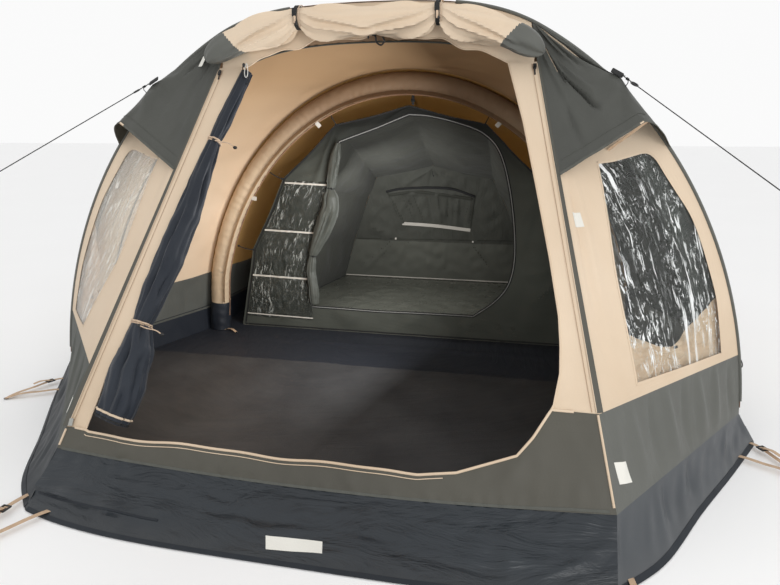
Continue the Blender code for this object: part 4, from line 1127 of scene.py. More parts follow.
def bayPatches(bay, made):
    # A bay with the tapes along its arches and the seam over its middle
    tapes = [tapeOn(bay, np.s_[2:-2, column], 0.016, 0.0016, 2) for column in (1, -2)]
    return [made, *tapes, tapeOn(bay, np.s_[bay.shape[0] // 2, 1:-1], 0.014, 0.0014, 0)]


def makeBays():
    # The mid bay in one cloth: both walls and the roof between the front and the middle arch
    rises = np.linspace(1, 7, 170)
    grid = between(archAt(frontArch, rises, tent["coverDepth"]), archAt(midArch, rises), 42)
    top = metric(grid)[1].max() - 0.4
    folds = looseFolds(82, 40, (0.1, 0.1), (1, top), 1.2, 0.5, 0.5, 0.04, 0.007)
    bay = draped(grid, 83, fly["baySag"], 0.3, 0.003, folds)
    made = shell(bay)
    # Behind the right window the wall's inner face is painted dark grey as painted shade up to the shoulder,
    # so that it shows dark through the film
    centre = made["points"][made["faces"]].mean(axis=1)
    shadedInsideFaces = (made["material"] == 1) & (centre[:, 0] > 0) & (centre[:, 2] < fly["insideShadeTop"])
    made["material"] = np.where(shadedInsideFaces, 3, made["material"])
    addCloth("mid_bay", bayPatches(bay, made), [beigeCotton, ceilingCotton, greyTape, liningAndPaintedShade],
        bay[::4, ::3],
        nodes=["mid_roof", "mid_wall_left", "mid_wall_right"])
    # The rear bay from the middle arch to the low rear arch
    grid = between(archAt(midArch, rises), archAt(rearArch, rises), 48)
    top = metric(grid)[1].max() - 0.4
    folds = looseFolds(84, 50, (0.1, 0.1), (1.8, top), 1.3, 0.6, 0.6, 0.05, 0.009)
    bay = draped(grid, 85, fly["rearSag"], 0.36, 0.0035, folds)
    # Its inner face takes the amber painted glow
    addCloth("rear_roof", bayPatches(bay, shell(bay)), [beigeCotton, backlitAmberCotton, greyTape],
        bay[::4, ::3])


def makeBands():
    # The grey bands along the foot of both bays
    rise = np.linspace(0, 1, 26)
    front, middle, rear = archAt(frontArch, rise, tent["coverDepth"]), archAt(midArch,
        rise), archAt(rearArch, rise)
    for side in ("right", "left"):
        for name, first, last, columns, seed in (("mid_lower_", front, middle, 50, 86),
                ("rear_lower_", middle, rear, 84, 87)):
            grid = between(first, last, columns)
            folds = looseFolds(seed + (side == "left"), 14, (0.1, 0), (metric(grid)[0].max(), 0.15), 1.57,
                0.3, 0.35, 0.03, 0.008)
            band = draped(grid, seed, fly["bandSag"], 0.2, 0.0025, folds, 0.06, True)
            addCloth(name + side, [shell(band), tapeOn(band, np.s_[-2, 1:-1], 0.012, 0.0016, 2)],
                [greyRipstop, greyRipstop, greyTape], band[::3, ::4],
                side)


def makeRearWall():
    # Rear wall and its band, inside the rear arch
    for name, low, high, rows, finish, slot, seed in (
        ("rear_wall", 1, 3.96, 44, beigeCotton, "beige_cotton", 88),
        ("rear_lower", 0, 1, 20, greyRipstop, "grey_ripstop", 89),
    ):
        rise = np.linspace(low, high, rows)
        grid = between(archAt(rearArch, 8 - rise), archAt(rearArch, rise), 84)[:, ::-1]
        u, v = metric(grid)
        folds = looseFolds(seed, 14, (0.2, 0), (2.8, 0.8), 1.4, 0.5, 0.5, 0.04, 0.008)
        height = ripple(u, v, seed, 0.3) * 0.003 + ridges(u, v, folds) - fly["wallSag"]
        wall = pushed(grid, height * edgeFade(rows, 84, 0.1))
        addCloth(name, [shell(wall), tapeOn(wall, np.s_[1, 1:-1], 0.012, 0.0016, 2)],
            [finish, ceilingCotton, greyTape], wall[::2, ::4])


makeCover()
makeBays()
makeBands()
makeRearWall()
print("fly made")


# Skirts that lie out on the ground round the foot

skirt = {
    "low": 0.0042, "least": 0.0028, "hemWidth": 0.024, "lipRow": 11, "lipEnd": 58,
    "frontFoot": -2.39, "frontCurl": 0.1, "frontHalf": 1.2,
    "cornerFeet": ((1.2, -2.29), (1.4, -2.08), (1.62, -1.72), (1.84, -1.38), (2.05, -1.04)),
    "sideFeet": ((2.05, -1.04), (2.07, -0.84), (1.76, 0.12), (1.62, 2.4)),
    "rearFeet": ((1.62, 2.4), (-1.62, 2.4)),
}


def onGround(flat):
    return np.concatenate([flat, np.full((len(flat), 1), skirt["low"])], axis=1)


def skirtGrid(feet, tops, rows, seed, bulge, folds):
    # Columns round the foot, rows from the hem on the ground up to the seam
    grid = between(feet, tops, rows).transpose(1, 0, 2)
    u, v = metric(grid)
    t = evenly(rows)[:, None]
    ends = edgeFade(rows, grid.shape[1], 0.03, False)
    height = (ripple(u, v, seed, 0.12, 10, 1.6) * 0.003 + ridges(u, v, folds)) * arched(t) * ends
    grid = pushed(grid, height - bulge * np.sin(math.pi * t) * ends)
    return np.maximum(grid, (-np.inf, -np.inf, skirt["least"]))


def makeFrontSkirt():
    # One cloth to the ground, puckered under its seam, with a tuck across its left end
    count, rows, half = 216, 38, skirt["frontHalf"]
    x = np.linspace(-half, half, count)
    feet = onGround(np.stack([x, skirt["frontFoot"] + skirt["frontCurl"] * (np.abs(x) / half) ** 4], axis=1))
    x = x / half * tent["pillarFootX"]
    tops = np.stack([x, frontY(frontHem(x)), frontHem(x)], axis=1)
    folds = looseFolds(91, 40, (0.05, 0.03), (2.2, 0.34), 0, 0.26, 0.42, 0.018, 0.006)
    folds += [(0.9, 0, 1.02, 0.3, 0.035, 0.008), (1.5, 0, 1.45, 0.3, 0.04, 0.007),
        (2.05, 0, 2, 0.3, 0.03, 0.008), (2.25, 0.3, 2.3, 0, 0.03, 0.006)]
    grid = skirtGrid(feet, tops, rows, 91, 0.004, folds)
    t = evenly(rows)[:, None]
    line = np.interp(x, (-1.19, -1, -0.57), (0.31, 0.28, 0.21))[None]
    near = 1 - easeInOut((x + 0.8) / 0.34)[None]
    above = np.where(t > line, bell(t - line, 0.2), 0) * easeInOut((t - line) / 0.03)
    tuck = (0.017 * above - 0.005 * bell(t - (line - 0.07), 0.06)) * near
    puckers = np.sin(x * 62 + 2 * np.sin(x * 7))[None] * 0.0036 * bell(t - 0.9, 0.13) * (1 - t) ** 0.25
    grid = np.maximum(pushed(grid, tuck + puckers), (-np.inf, -np.inf, skirt["least"]))

    def surface(u, v):
        column, row = u * (count - 1), v * (rows - 1)
        c, r = column.astype(int), row.astype(int)
        a, b = (column - c)[..., None], (row - r)[..., None]
        return mixed(mixed(grid[r, c], grid[r, c + 1], a), mixed(grid[r + 1, c], grid[r + 1, c + 1], a), b)

    label = ((0.465, 0.166), (0.557, 0.205), (0.551, 0.352), (0.456, 0.33))
    patches = [shell(grid), tapeOn(grid, np.s_[1, 1:-1], 0.02, 0.0018, 1, 0.0005),
        tapeOn(grid, np.s_[skirt["lipRow"], 2:skirt["lipEnd"]], 0.01, 0.0018, 1, 0.001),
        labelPatch(surface, label, 2, 14)]
    addCloth("skirt_front", patches, [navyCoated, navyHem, barePatch], grid[::3, ::8])


def addSkirt(name, grid, finish, cut, side="right"):
    hem = tapeOn(grid, np.s_[1, 1:-1], skirt["hemWidth"], 0.0018, 1, 0.0005)
    addCloth(name, [shell(grid), hem], [finish, navyHem], cut,
        side)


def makeSkirts():
    makeFrontSkirt()
    for side in ("right", "left"):
        # Right skirts take the navy with painted sheen, left ones the darker copy with painted shade
        other, finish = side == "left", navyPaintedSheen if side == "right" else navyShadedSheen
        tops = between(pillarAt([0]), archAt(frontArch, [0]), 110)[0]
        folds = looseFolds(93 + other, 12, (0.05, 0), (1.5, 0.1), 1.57, 0.4, 0.3, 0.035, 0.01)
        grid = skirtGrid(onGround(curveThrough(skirt["cornerFeet"], 110)), tops, 26, 94, 0.012, folds)
        addSkirt("skirt_corner_" + side, grid, finish, grid[::3, ::5], side)
        tops = lineThrough([archAt(frontArch, 0), archAt(frontArch, 0, tent["coverDepth"]),
            archAt(midArch, 0), archAt(rearArch, 0)], 200)
        folds = looseFolds(95 + other, 24, (0.05, 0), (3.2, 0.1), 1.57, 0.4, 0.25, 0.035, 0.009)
        grid = skirtGrid(onGround(lineThrough(skirt["sideFeet"], 200)), tops, 20, 96, 0.01, folds)
        addSkirt("skirt_side_" + side, grid, finish, grid[::3, ::8], side)
    tops = lineThrough([archAt(rearArch, 0), archAt(rearArch, 8)], 140)
    folds = looseFolds(98, 18, (0.1, 0), (3.1, 0.1), 1.57, 0.4, 0.2, 0.035, 0.008)
    grid = skirtGrid(onGround(lineThrough(skirt["rearFeet"], 140)), tops, 20, 97, 0.01, folds)
    # The rear skirt takes the navy with painted sheen too
    addSkirt("skirt_rear", grid, navyPaintedSheen, grid[::3, ::8])
    print("skirts made")


makeSkirts()


# Groundsheet tray: the floor and its raised wall in one cloth

tray = {"floor": 0.006, "wall": 0.2, "hemDrop": 0.012, "side": 0.017, "rear": 0.006, "front": 0.012,
    "foot": 0.028, "rows": 60, "wallRows": 16, "columns": 160, "middle": (0, 0.2), "cabinFrom": 0.21,
    "cabinHalf": 1.42}


def wallOutline(z):
    # The inside corners of the walls at a height, counter-clockwise from the front right
    rise = np.interp(z, (tent["skirtTop"], tent["bandTop"]), (0, 1))
    right = np.array([pillarAt(rise), archAt(frontArch, rise), archAt(frontArch, rise, tent["coverDepth"]),
        archAt(midArch, rise), archAt(rearArch, rise)])[:, :2]
    return np.concatenate([right, right[::-1] * (-1, 1)])


def shrunk(outline, widths, count):
    # Each side of a closed outline moved inwards by its own width; corners where moved sides cross
    way = unit(np.roll(outline, -1, axis=0) - outline)
    inwards = np.stack([-way[:, 1], way[:, 0]], axis=1)
    level = (inwards * outline).sum(axis=1) + widths
    matrix = np.stack([np.roll(inwards, 1, axis=0), inwards], axis=1)
    corners = np.linalg.solve(matrix, np.stack([np.roll(level, 1), level], axis=1)[..., None])[..., 0]
    return lineThrough([*corners, corners[0]], count + 1)[:-1]


def makeGround():
    widths = np.array([tray["side"]] * 4 + [tray["rear"]] + [tray["side"]] * 4 + [tray["front"]])
    count, middle = tray["columns"], np.array(tray["middle"])
    low = shrunk(wallOutline(tent["skirtTop"]), widths + tray["foot"] - tray["side"], count)
    high = shrunk(wallOutline(tray["wall"]), widths, count)
    share = np.linspace(0.02, 1, tray["rows"])[:, None]
    flat = middle + (low - middle) * share[..., None]
    x, y = np.moveaxis(flat, -1, 0)
    folds = looseFolds(101, 26, (-1.6, -1.6), (1.4, 1), 0.3, 0.5, 0.8, 0.022, 0.006)
    folds += looseFolds(102, 16, (-1.6, -1.6), (1.4, 1), 1.7, 0.4, 0.7, 0.02, 0.005)
    folds += [(-1.4, -0.46, 1.4, -0.455, 0.02, 0.01), (-1.4, -0.05, 1.4, -0.04, 0.02, 0.009)]
    raised = np.abs(ripple(x, y, 103, 0.5, 10)) * 0.0016 + np.clip(ridges(x, y, folds), 0, 0.012)
    # The floor lies flat at its edge and under the cabin
    cabin = (y > tray["cabinFrom"]) & (np.abs(x) < tray["cabinHalf"])
    raised = raised * easeInOut((1 - share) / 0.05) * np.where(cabin, 0, 1)
    floor = np.concatenate([flat, (tray["floor"] + raised)[..., None]], axis=2)
    t = evenly(tray["wallRows"])[1:, None, None]
    height = np.broadcast_to(mixed(tray["floor"], tray["wall"], t**1.15), (len(t), count, 1))
    grid = np.concatenate([floor, np.concatenate([mixed(low, high, t), height], axis=2)])
    made = shell(grid, around=True, inside=0, poleClosed=True)
    corner = made["faces"].min(axis=1) % (len(grid) * count)
    made["material"] = np.where(corner // count >= len(floor) - 1, 1, made["material"])
    hem = np.concatenate([high, np.full((count, 1), tray["wall"] - tray["hemDrop"])], axis=1)
    inward = unit((np.array([*middle, 0]) - hem) * (1, 1, 0))
    binding = along(hem + inward * 0.004, flatProfile(0.016, 0.0016), inward, closed=True, material=2)
    piece = addPiece("groundsheet_tray", [made, binding], [groundCloth, trayCloth, greyTape],
        ["groundsheet"])
    print("groundsheet made")


makeGround()


# Air arches in their sleeves

forward = np.array([0, -1, 0])
beams = {
    "front_beam": {"arch": frontArch, "radius": 0.08, "setback": 0.115, "seed": 111, "rows": 260,
        "sides": 32},
    "mid_beam": {"arch": midArch, "radius": 0.074, "setback": 0, "seed": 112, "rows": 420, "sides": 36},
    "rear_beam": {"arch": rearArch, "radius": 0.07, "setback": -0.16, "seed": 113, "rows": 160, "sides": 24},
}
beamLook = {
    "sleeveShadeTop": 1.5, "gap": 0.014, "footGap": 0.03, "stepHeight": 0.26, "foot": 0.013, "bootTop": 0.25,
    "bootLift": 0.0058, "tabs": ((-0.662, 1.612), (-1.139, 1.007), (0.662, 1.612), (1.139, 1.007)),
}


def beamRoute(look):
    # The middle line of an air arch under the fly, from its right foot to its left one
    arch, radius = look["arch"], look["radius"]
    reach = arch["height"] - radius - beamLook["gap"]
    start = math.asin(beamLook["foot"] / reach)
    turn = np.linspace(start, math.pi - start, look["rows"])
    z = reach * np.sin(turn)
    gap = np.interp(z, (beamLook["stepHeight"], tent["bandTop"]), (beamLook["footGap"], beamLook["gap"]))
    x = (arch["width"] - radius - gap) * np.cos(turn)
    z = z - crownDip(x / arch["width"], arch)
    return np.stack([x, arch["footY"] + look["setback"] + arch["lean"] * z, z], axis=1)


def makeBeams():
    for name, look in beams.items():
        rows, sides, radius = look["rows"], look["sides"], look["radius"]
        route = beamRoute(look)
        steps, turn = distances(route)[:, None], angles(sides)[None, :]
        phase = ripple(steps, turn * 0.05, look["seed"], 0.3) * 2.2
        pinch = np.sin((steps + 0.05 * np.sin(turn)) * 2 * math.pi / 0.046 + phase)
        cross = np.sin((steps - 0.06 * np.sin(turn)) * 2 * math.pi / 0.061 - phase * 1.3)
        wrinkle = (0.0022 * pinch + 0.0014 * cross) * (0.625 + 0.375 * np.cos(turn))
        wrinkle = wrinkle + 0.0012 * ripple(steps, turn * radius, look["seed"] + 5, 0.07, 12)
        patches = [along(route, roundSection(radius + wrinkle - 0.002, turn), forward)]
        if name == "front_beam":
            # The lower right run of this sleeve is painted grey as painted shade, so that it shows dark
            # behind the window
            centre = patches[0]["points"][patches[0]["faces"]].mean(axis=1)
            grey = (centre[:, 0] > 0) & (centre[:, 2] < beamLook["sleeveShadeTop"])
            patches[0]["material"] = np.where(grey, 4, 0)
        low = int(np.searchsorted(route[: rows // 2, 2], beamLook["bootTop"]))
        for cut in (slice(0, low), slice(rows - low, rows)):
            swell = radius + beamLook["bootLift"] + 0.002 * ripple(steps[cut], turn * radius, 7, 0.06)
            ends = np.abs(np.linspace(-1, 1, low))[:, None] ** 12 * 0.002
            patches.append(along(route[cut], roundSection(swell - ends, turn), forward, material=1))
        side = unit(np.cross(forward, unit(np.gradient(route, axis=0))))
        edge = (route + side * (radius + 0.003))[8:-8]
        # The front and rear arches' piping takes the sleeve's grey painted shade; the mid arch's stays brown
        patches.append(along(edge, roundProfile(0.0045), forward, material=2 if name == "mid_beam" else 4))
        if name == "mid_beam":
            # The sleeve's sewn edge, which stands out into the room
            sewn = (route + side * radius * 0.87 + forward * radius * 0.92)[low:-low]
            patches.append(along(sewn, flatProfile(0.046, 0.0012), forward * 0.6 - side[low:-low] * 0.8))
            for x, z in beamLook["tabs"]:
                place = route[np.argmin(np.hypot(route[:, 0] - x, route[:, 2] - z))]
                inwards = unit(np.array([-place[0], 0, 0.9 - place[2]]))
                tab = place + inwards * (radius + 0.02) + forward * 0.012
                patches.append(block(tab, (0.042, 0.03, 0.003), inwards, np.cross(inwards, forward),
                    material=3))
        piece = addPiece(name + "_sleeve", patches, [sleeveCloth, trayCloth, brownBinding, whiteTrim,
            sleeveShaded], [name])
    print("beams made")


makeBeams()


# Rolled doors: the front door under the crown, the insect door beside the doorway, the cabin's door

rolls = {
    "reach": 0.87, "radius": 0.074, "drop": 0.105, "pinch": 0.024, "tieLift": 0.04, "tieX": 0.36,
    "tieWidth": 0.07,
    "endForward": 0.025, "endRound": 0.75, "endDrop": 0.02, "endStart": 0.68, "greyFrom": 0.715,
    "meshLow": 0.282, "meshHigh": 1.86, "meshFoot": 0.098, "meshTop": 0.04, "meshTies": (1.51, 0.67),
    "meshFootIn": 0.022,
    "meshStops": (0.28, 0.33, 0.42, 0.56, 0.67, 0.78, 0.95, 1.15, 1.4, 1.51, 1.6, 1.86),
    "meshSizes": (0.84, 0.94, 1.04, 0.98, 0.62, 0.8, 1.02, 1.04, 0.84, 0.7, 0.84, 0.86),
}


def doorRollLine(x):
    # The middle line of the front door's roll and its radius, over places across the tent
    away, reach = np.abs(x), rolls["reach"]
    tie = bell(away - rolls["tieX"], rolls["tieWidth"])
    side = np.clip((away - rolls["endStart"]) / (reach - rolls["endStart"]), 0, 1)
    z = crownZ(x) - rolls["drop"] + rolls["tieLift"] * tie - rolls["endDrop"] * side**1.5
    y = frontArch["footY"] + frontArch["lean"] * z - rolls["radius"] - rolls["endForward"] * side
    ends = np.clip((away - rolls["endRound"]) / (reach - rolls["endRound"]), 0, 1)
    radius = (rolls["radius"] - rolls["pinch"] * tie) * np.sqrt(np.clip(1 - 0.93 * ends**2.2, 0, 1))
    return np.stack([x, y, z], axis=-1), radius


def makeDoorRoll():
    x = rolls["reach"] * np.sin(np.linspace(1, -1, 280) * math.pi / 2)
    path, radius = doorRollLine(x)
    x, turn = x[:, None], angles(72)[None, :]
    around = turn * rolls["radius"]
    folds = []
    for tie in (rolls["tieX"], -rolls["tieX"]):
        for number, start in enumerate(np.linspace(0.05, 0.45, 9)):
            lean, reach = (start - 0.2) * 0.35 - 0.03 * (number % 3), 0.22 + 0.1 * ((number * 7) % 4)
            folds += [(tie, start, tie + way * reach, start + lean, 0.009, 0.024) for way in (1, -1)]
    height = ridges(x, around, folds) - 0.006 + ripple(x, around, 121, 0.25, 9, 0.5) * 0.0025
    height = height + 0.0035 * np.sin(turn * 3 + x * 1.2) + 0.002 * np.sin(turn * 7 - x * 2.3)
    size = radius[:, None] - 0.003 + height * (1 - 0.6 * bell(np.abs(x) - rolls["tieX"], 0.05))
    made = along(path, roundSection(size, turn), forward)
    # Both ends show the grey side of the door
    centre = made["points"][made["faces"]].mean(axis=1)
    middle = np.abs(centre[:, 0])
    edge = rolls["greyFrom"] + 0.75 * (centre[:, 2] - crownZ(middle) + rolls["drop"])
    made["material"] = np.where(middle > edge, 1, 0)
    made["caps"] = [(cap, 1) for cap, material in made["caps"]]
    patches = [made]
    for place in (rolls["tieX"], -rolls["tieX"]):
        spot, size = doorRollLine(np.array(place))
        for shift, width, lift, material in ((0, 0.02, 0.006, 3), (0.018, 0.006, 0.007, 4)):
            centre = spot + (shift, 0, 0)
            out = np.concatenate([np.zeros((48, 1)), roundSection(1, angles(48))], axis=1)
            patches.append(along(centre + out * (size + lift), flatProfile(width, 0.0022), out, True,
                material=material))
        front = spot + forward * (size + 0.012)
        patches += [block(front + (0, -0.002, 0.016), (0.024, 0.04, 0.006), (1, 0, 0), (0, 0, 1),
            material=3), block(front + (0.002, -0.004, -0.018), (0.012, 0.034, 0.005), (1, 0, 0), (0, 0, 1),
            material=4), bead(front + (0.01, -0.006, -0.034), 0.006, (1, 1, 1.5), 5)]
    piece = addPiece("door_roll_cloth", patches, [beigeCotton, greyRipstop, liningAndPaintedShade, blackWebbing,
        beigeBraid, blackPlastic], ["door_roll"])


def gathered(path, radius, seed, lobes, depth, sides, ties, pinch, twist, flatness):
    # The section of a bundle of cloth: upright pleats round it, drawn in at its ties
    steps, turn = distances(path)[:, None], angles(sides)[None, :]
    draw = np.random.default_rng(seed)
    pleat = 0
    for lobe in lobes:
        phase, lean = draw.uniform(0, 2 * math.pi), draw.normal(0, twist)
        sway = ripple(steps, 0 * turn, seed + lobe, 0.5, 5)
        pleat = pleat + np.sin(lobe * turn + phase + lean * steps + sway * 1.1) / len(lobes) ** 0.5
    rough = ripple(steps, turn * 0.07, seed + 77, 0.09, 12) * 0.1
    tight = sum(bell(path[:, 2:] - tie, 0.03) for tie in ties)
    size = radius[:, None] * (1 + depth * (rough - 0.5 * pleat**2)) * (1 - pinch * np.clip(tight, 0, 1))
    return roundSection(size, turn) * (1, flatness), size


def makeMeshRoll():
    rows, sides = 240, 60
    z = np.linspace(rolls["meshLow"], rolls["meshHigh"], rows)
    radius = mixed(rolls["meshFoot"], rolls["meshTop"], evenly(rows))
    radius = radius * np.interp(z, rolls["meshStops"], rolls["meshSizes"])
    x = -doorEdge(z, "left") + radius + 0.0012 + rolls["meshFootIn"] * bell(z - z[0], 0.25)
    path = np.stack([x, frontY(z), z], axis=1)
    profile, size = gathered(path, radius * 0.985, 131, (2, 3, 5, 9), 0.22, sides, rolls["meshTies"], 0.08,
        1.1, 0.86)
    patches = [along(path, profile, slopeOut)]
    rings = patches[0]["points"].reshape(rows, sides, 3)
    for row, thick, material in ((1, 0.0044, 1), (4, 0.0056, 2)):
        patches.append(along(rings[row], roundProfile(thick), slopeOut, True, material=material))
    for tie in rolls["meshTies"]:
        row = int(np.searchsorted(z, tie))
        centre = rings[row].mean(axis=0)
        for shift in (-0.008, 0.003):
            loop = rings[row] + unit(rings[row] - centre) * 0.0022 + (0, 0, shift)
            patches.append(along(loop, roundProfile(0.0048), closed=True, material=3))
        front = centre + np.array([0.3, -0.8, 0.1]) * (size[row].max() + 0.003)
        tail = curveThrough(front + [(0, 0, 0), (0.045, -0.014, -0.006), (0.09, -0.008, -0.016),
            (0.118, -0.004, -0.036)], 24)
        patches += [bead(front, 0.009, (1.3, 1, 1), 4), along(tail, roundProfile(0.0028), material=3),
            bead(tail[-1], 0.0076, (1.6, 1, 1.1), 4)]
    piece = addPiece("mesh_door_roll_cloth", patches, [navyMesh, blackWebbing, creamBinding, beigeBraid,
        blackPlastic], ["mesh_door_roll"])


makeDoorRoll()
makeMeshRoll()
print("rolls made")


# Sleeping cabin hung in the rear bay

cabin = {
    "front": ((1.385, 0), (1.256, 0.639), (0.974, 1.202), (0.55, 1.6), (0, 1.731)),
    "rear": ((1.03, 0), (0.87, 0.42), (0.67, 0.9), (0.56, 1.12), (0, 1.24)),
    "door": ((0.5, 0.2), (0.66, 0.33), (0.755, 0.48), (0.78, 0.72), (0.735, 1.09), (0.65, 1.39),
        (0.53, 1.53),
             (0.34, 1.605), (0.14, 1.65), (0, 1.66)),
    "doorLeft": ((0.768, 0.2), (0.798, 0.42), (0.735, 0.78), (0.62, 1.18), (0.512, 1.474), (0.219, 1.574),
                 (0, 1.66)),
    "frontY": 0.24, "rearFootY": 2.08, "rearTopY": 1.55, "rearTop": 1.24, "floorTop": 0.0093,
    "scallop": 0.008,
    "floorHalf": (1.372, 1.02),
}
rearSlope = (cabin["rearTopY"] - cabin["rearFootY"]) / cabin["rearTop"]


def facetLine(outline, count):
    # Straight runs between the corners where the cloth hangs, the same number of steps in each run
    return readAt(np.linspace(0, len(outline) - 1, count), np.arange(len(outline)), outline)


def roundTheTop(outline, count):
    # From the right foot over the top to the left foot, the same count on each side, some slack in each run
    right = facetLine(outline, count)
    phase = np.linspace(0, len(outline) - 1, count) % 1
    pull = cabin["scallop"] * np.sin(math.pi * phase) ** 2 * np.clip((right[:, 1] - 0.35) / 0.3, 0, 1)
    right = right - unit(right - (0, 0.8)) * pull[:, None]
    right[:, 1] += cabin["floorTop"] * (1 - right[:, 1] / right[-1, 1])
    return np.concatenate([right, right[:-1][::-1] * (-1, 1)])


def rearAt(x, z, lift=0):
    # A place on the cabin's leaning rear wall, moved towards the door by a lift
    return leaning(x, cabin["rearFootY"] + rearSlope * z, z, rearSlope, lift)


def makeCabinFront():
    count = 101
    arc = roundTheTop(cabin["front"], count)[::-1]
    hole = np.concatenate([lineThrough(cabin["doorLeft"], count)[:-1] * (-1, 1),
        curveThrough(cabin["door"], count)[::-1]])
    inner, outer = (np.concatenate([line, np.linspace(line[-1], line[0], 50)[1:-1]]) for line in (hole, arc))
    share = evenly(24)[:, None]
    flat = mixed(inner, outer, share[..., None])
    x, z = np.moveaxis(flat, -1, 0)
    folds = []
    for px, pz in cabin["front"][1:]:
        for sign in (1, -1):
            centre = math.atan2(0.8 - pz, -sign * px)
            folds += fanFolds(int(px * 100) + 140 + sign, 5, (sign * px, pz), centre - 0.9, centre + 0.9,
                0.5, 0.022, 0.012)
    folds += [(-1.1, 0.02, -0.9, 0.2, 0.03, 0.012), (-0.5, 0.02, -0.4, 0.19, 0.03, 0.012),
        (-0.1, 0.02, 0.1, 0.19, 0.04, 0.01), (0.4, 0.02, 0.5, 0.2, 0.03, 0.012),
        (0.8, 0.02, 0.7, 0.22, 0.03, 0.01)]
    # The cloth stays flat under the zip, which lies along the doorway's edge
    fromEdge = np.linalg.norm(flat - inner, axis=-1)
    fade = arched(share, 0.5) * np.clip((fromEdge - 0.022) / 0.05, 0, 1)
    height = np.clip((ridges(x, z, folds) + ripple(x, z, 141, 0.2) * 0.004) * fade, -0.012, 0.016)
    grid = np.stack([x, cabin["frontY"] - height, z], axis=-1)
    away = unit(outer - inner)
    zipPath = grid[0] + np.insert(away * 0.01, 1, -0.001, axis=1)
    slider = zipPath[int(count * 0.66)]
    pull = curveThrough(slider + [(0, -0.007, 0), (0.004, -0.012, -0.03), (0, -0.012, -0.055)], 14)
    patches = [shell(grid, 0.0012, around=True), along(zipPath, flatProfile(0.022, 0.0014), forward, True,
        material=2), along(zipPath + forward * 0.0012, flatProfile(0.006, 0.0022), forward, True,
        material=3), along(grid[-2] + forward * 0.0008, flatProfile(0.012, 0.0014), forward, True,
        material=2), block(slider + forward * 0.005, (0.012, 0.02, 0.006), (1, 0, 0), (0, 0, 1), material=4),
        along(pull, roundProfile(0.0018, 6), material=4)]
    addCloth("inner_front", patches, [cabinFront, cabinDark, blackWebbing, zipGrey, blackPlastic],
        closedUp(grid), box=(2.9, 1.85))


def makeCanopy():
    rows, columns = 153, 50
    front, rear = roundTheTop(cabin["front"], (rows + 1) // 2), roundTheTop(cabin["rear"], (rows + 1) // 2)
    grid = between(np.insert(front, 1, cabin["frontY"] + 0.004, axis=1),
        np.insert(rear, 1, cabin["rearFootY"] + rearSlope * rear[:, 1], axis=1), columns)
    u, v = metric(grid)
    # Each facet between two creases is drawn in a little, the creases stay taut
    facet = np.abs(np.sin(math.pi * np.linspace(0, 2 * (len(cabin["front"]) - 1), rows)))[:, None]
    folds = looseFolds(151, 50, (0.1, 0.3), (1.6, v.max() - 0.5), 0.2, 0.6, 0.5, 0.03, 0.009)
    folds += looseFolds(152, 34, (0, 0.3), (0.5, v.max() - 0.3), 0, 0.25, 0.45, 0.018, 0.009)
    height = (ridges(u, v, folds) + ripple(u, v, 153, 0.22) * 0.005) * edgeFade(rows, columns, 0.08)
    grid = pushed(grid, np.minimum(height - 0.03 * arched(evenly(columns))[None] * facet, 0.003))
    out = gridNormals(grid)
    patches = [shell(grid, 0.0012)]
    for row in (38, 57, 76, 95, 114):
        patches.append(along(grid[row] - out[row] * 0.0012, flatProfile(0.01, 0.0018), -out[row]))
    addCloth("inner_canopy", patches, [cabinCanopy, cabinCloth], grid[::4, ::3])


rearFolds = [
    (-0.44, 0.96, -0.3, 0.62, 0.018, 0.016), (-0.34, 1, -0.16, 0.66, 0.016, -0.014),
    (-0.22, 1, -0.1, 0.64, 0.018, 0.016), (-0.08, 1.02, -0.02, 0.62, 0.016, -0.014),
    (0.02, 1.02, 0.06, 0.62, 0.018, 0.016), (0.14, 1, 0.12, 0.6, 0.016, -0.014),
    (0.24, 0.98, 0.2, 0.6, 0.018, 0.016), (0.36, 0.94, 0.3, 0.6, 0.016, 0.014),
    (-0.72, 0.62, -0.4, 0.5, 0.02, 0.01), (-0.44, 0.46, -0.8, 0.1, 0.02, 0.012),
    (-0.3, 0.46, -0.36, 0.12, 0.02, -0.01), (0.36, 0.46, 0.6, 0.12, 0.02, 0.012),
    (0.1, 0.46, 0.06, 0.14, 0.02, 0.009), (0, 1.22, -0.34, 1.02, 0.018, 0.012),
    (0, 1.22, 0.3, 1.02, 0.018, 0.012), (0, 1.22, -0.05, 1.03, 0.018, -0.01),
    (-0.5, 0.98, 0.36, 0.96, 0.02, 0.014),
]
# Bands on the rear wall: places along it, its lift, width, thickness and finish
rearBands = (
    (((-0.47, 0.985), (-0.3, 1.02), (0, 1.035), (0.2, 1.02), (0.39, 0.955)), 0.012, 0.024, 0.008, 2),
    (((-0.46, 0.98), (-0.4, 0.8), (-0.335, 0.66)), 0.009, 0.01, 0.002, 1),
    (((0.39, 0.95), (0.37, 0.8), (0.35, 0.62)), 0.009, 0.01, 0.002, 1),
    (((-0.335, 0.655), (0, 0.64), (0.35, 0.605)), 0.01, 0.036, 0.004, 3),
    (((-0.83, 0.47), (0, 0.485), (0.82, 0.5)), 0.005, 0.008, 0.003, 1),
    (((-1.01, 0.03), (0, 0.03), (1.01, 0.03)), 0.01, 0.012, 0.003, 3),
)


def onRearWall(points, lift):
    flat = curveThrough(points, 90)
    return rearAt(flat[:, 0], flat[:, 1], lift)


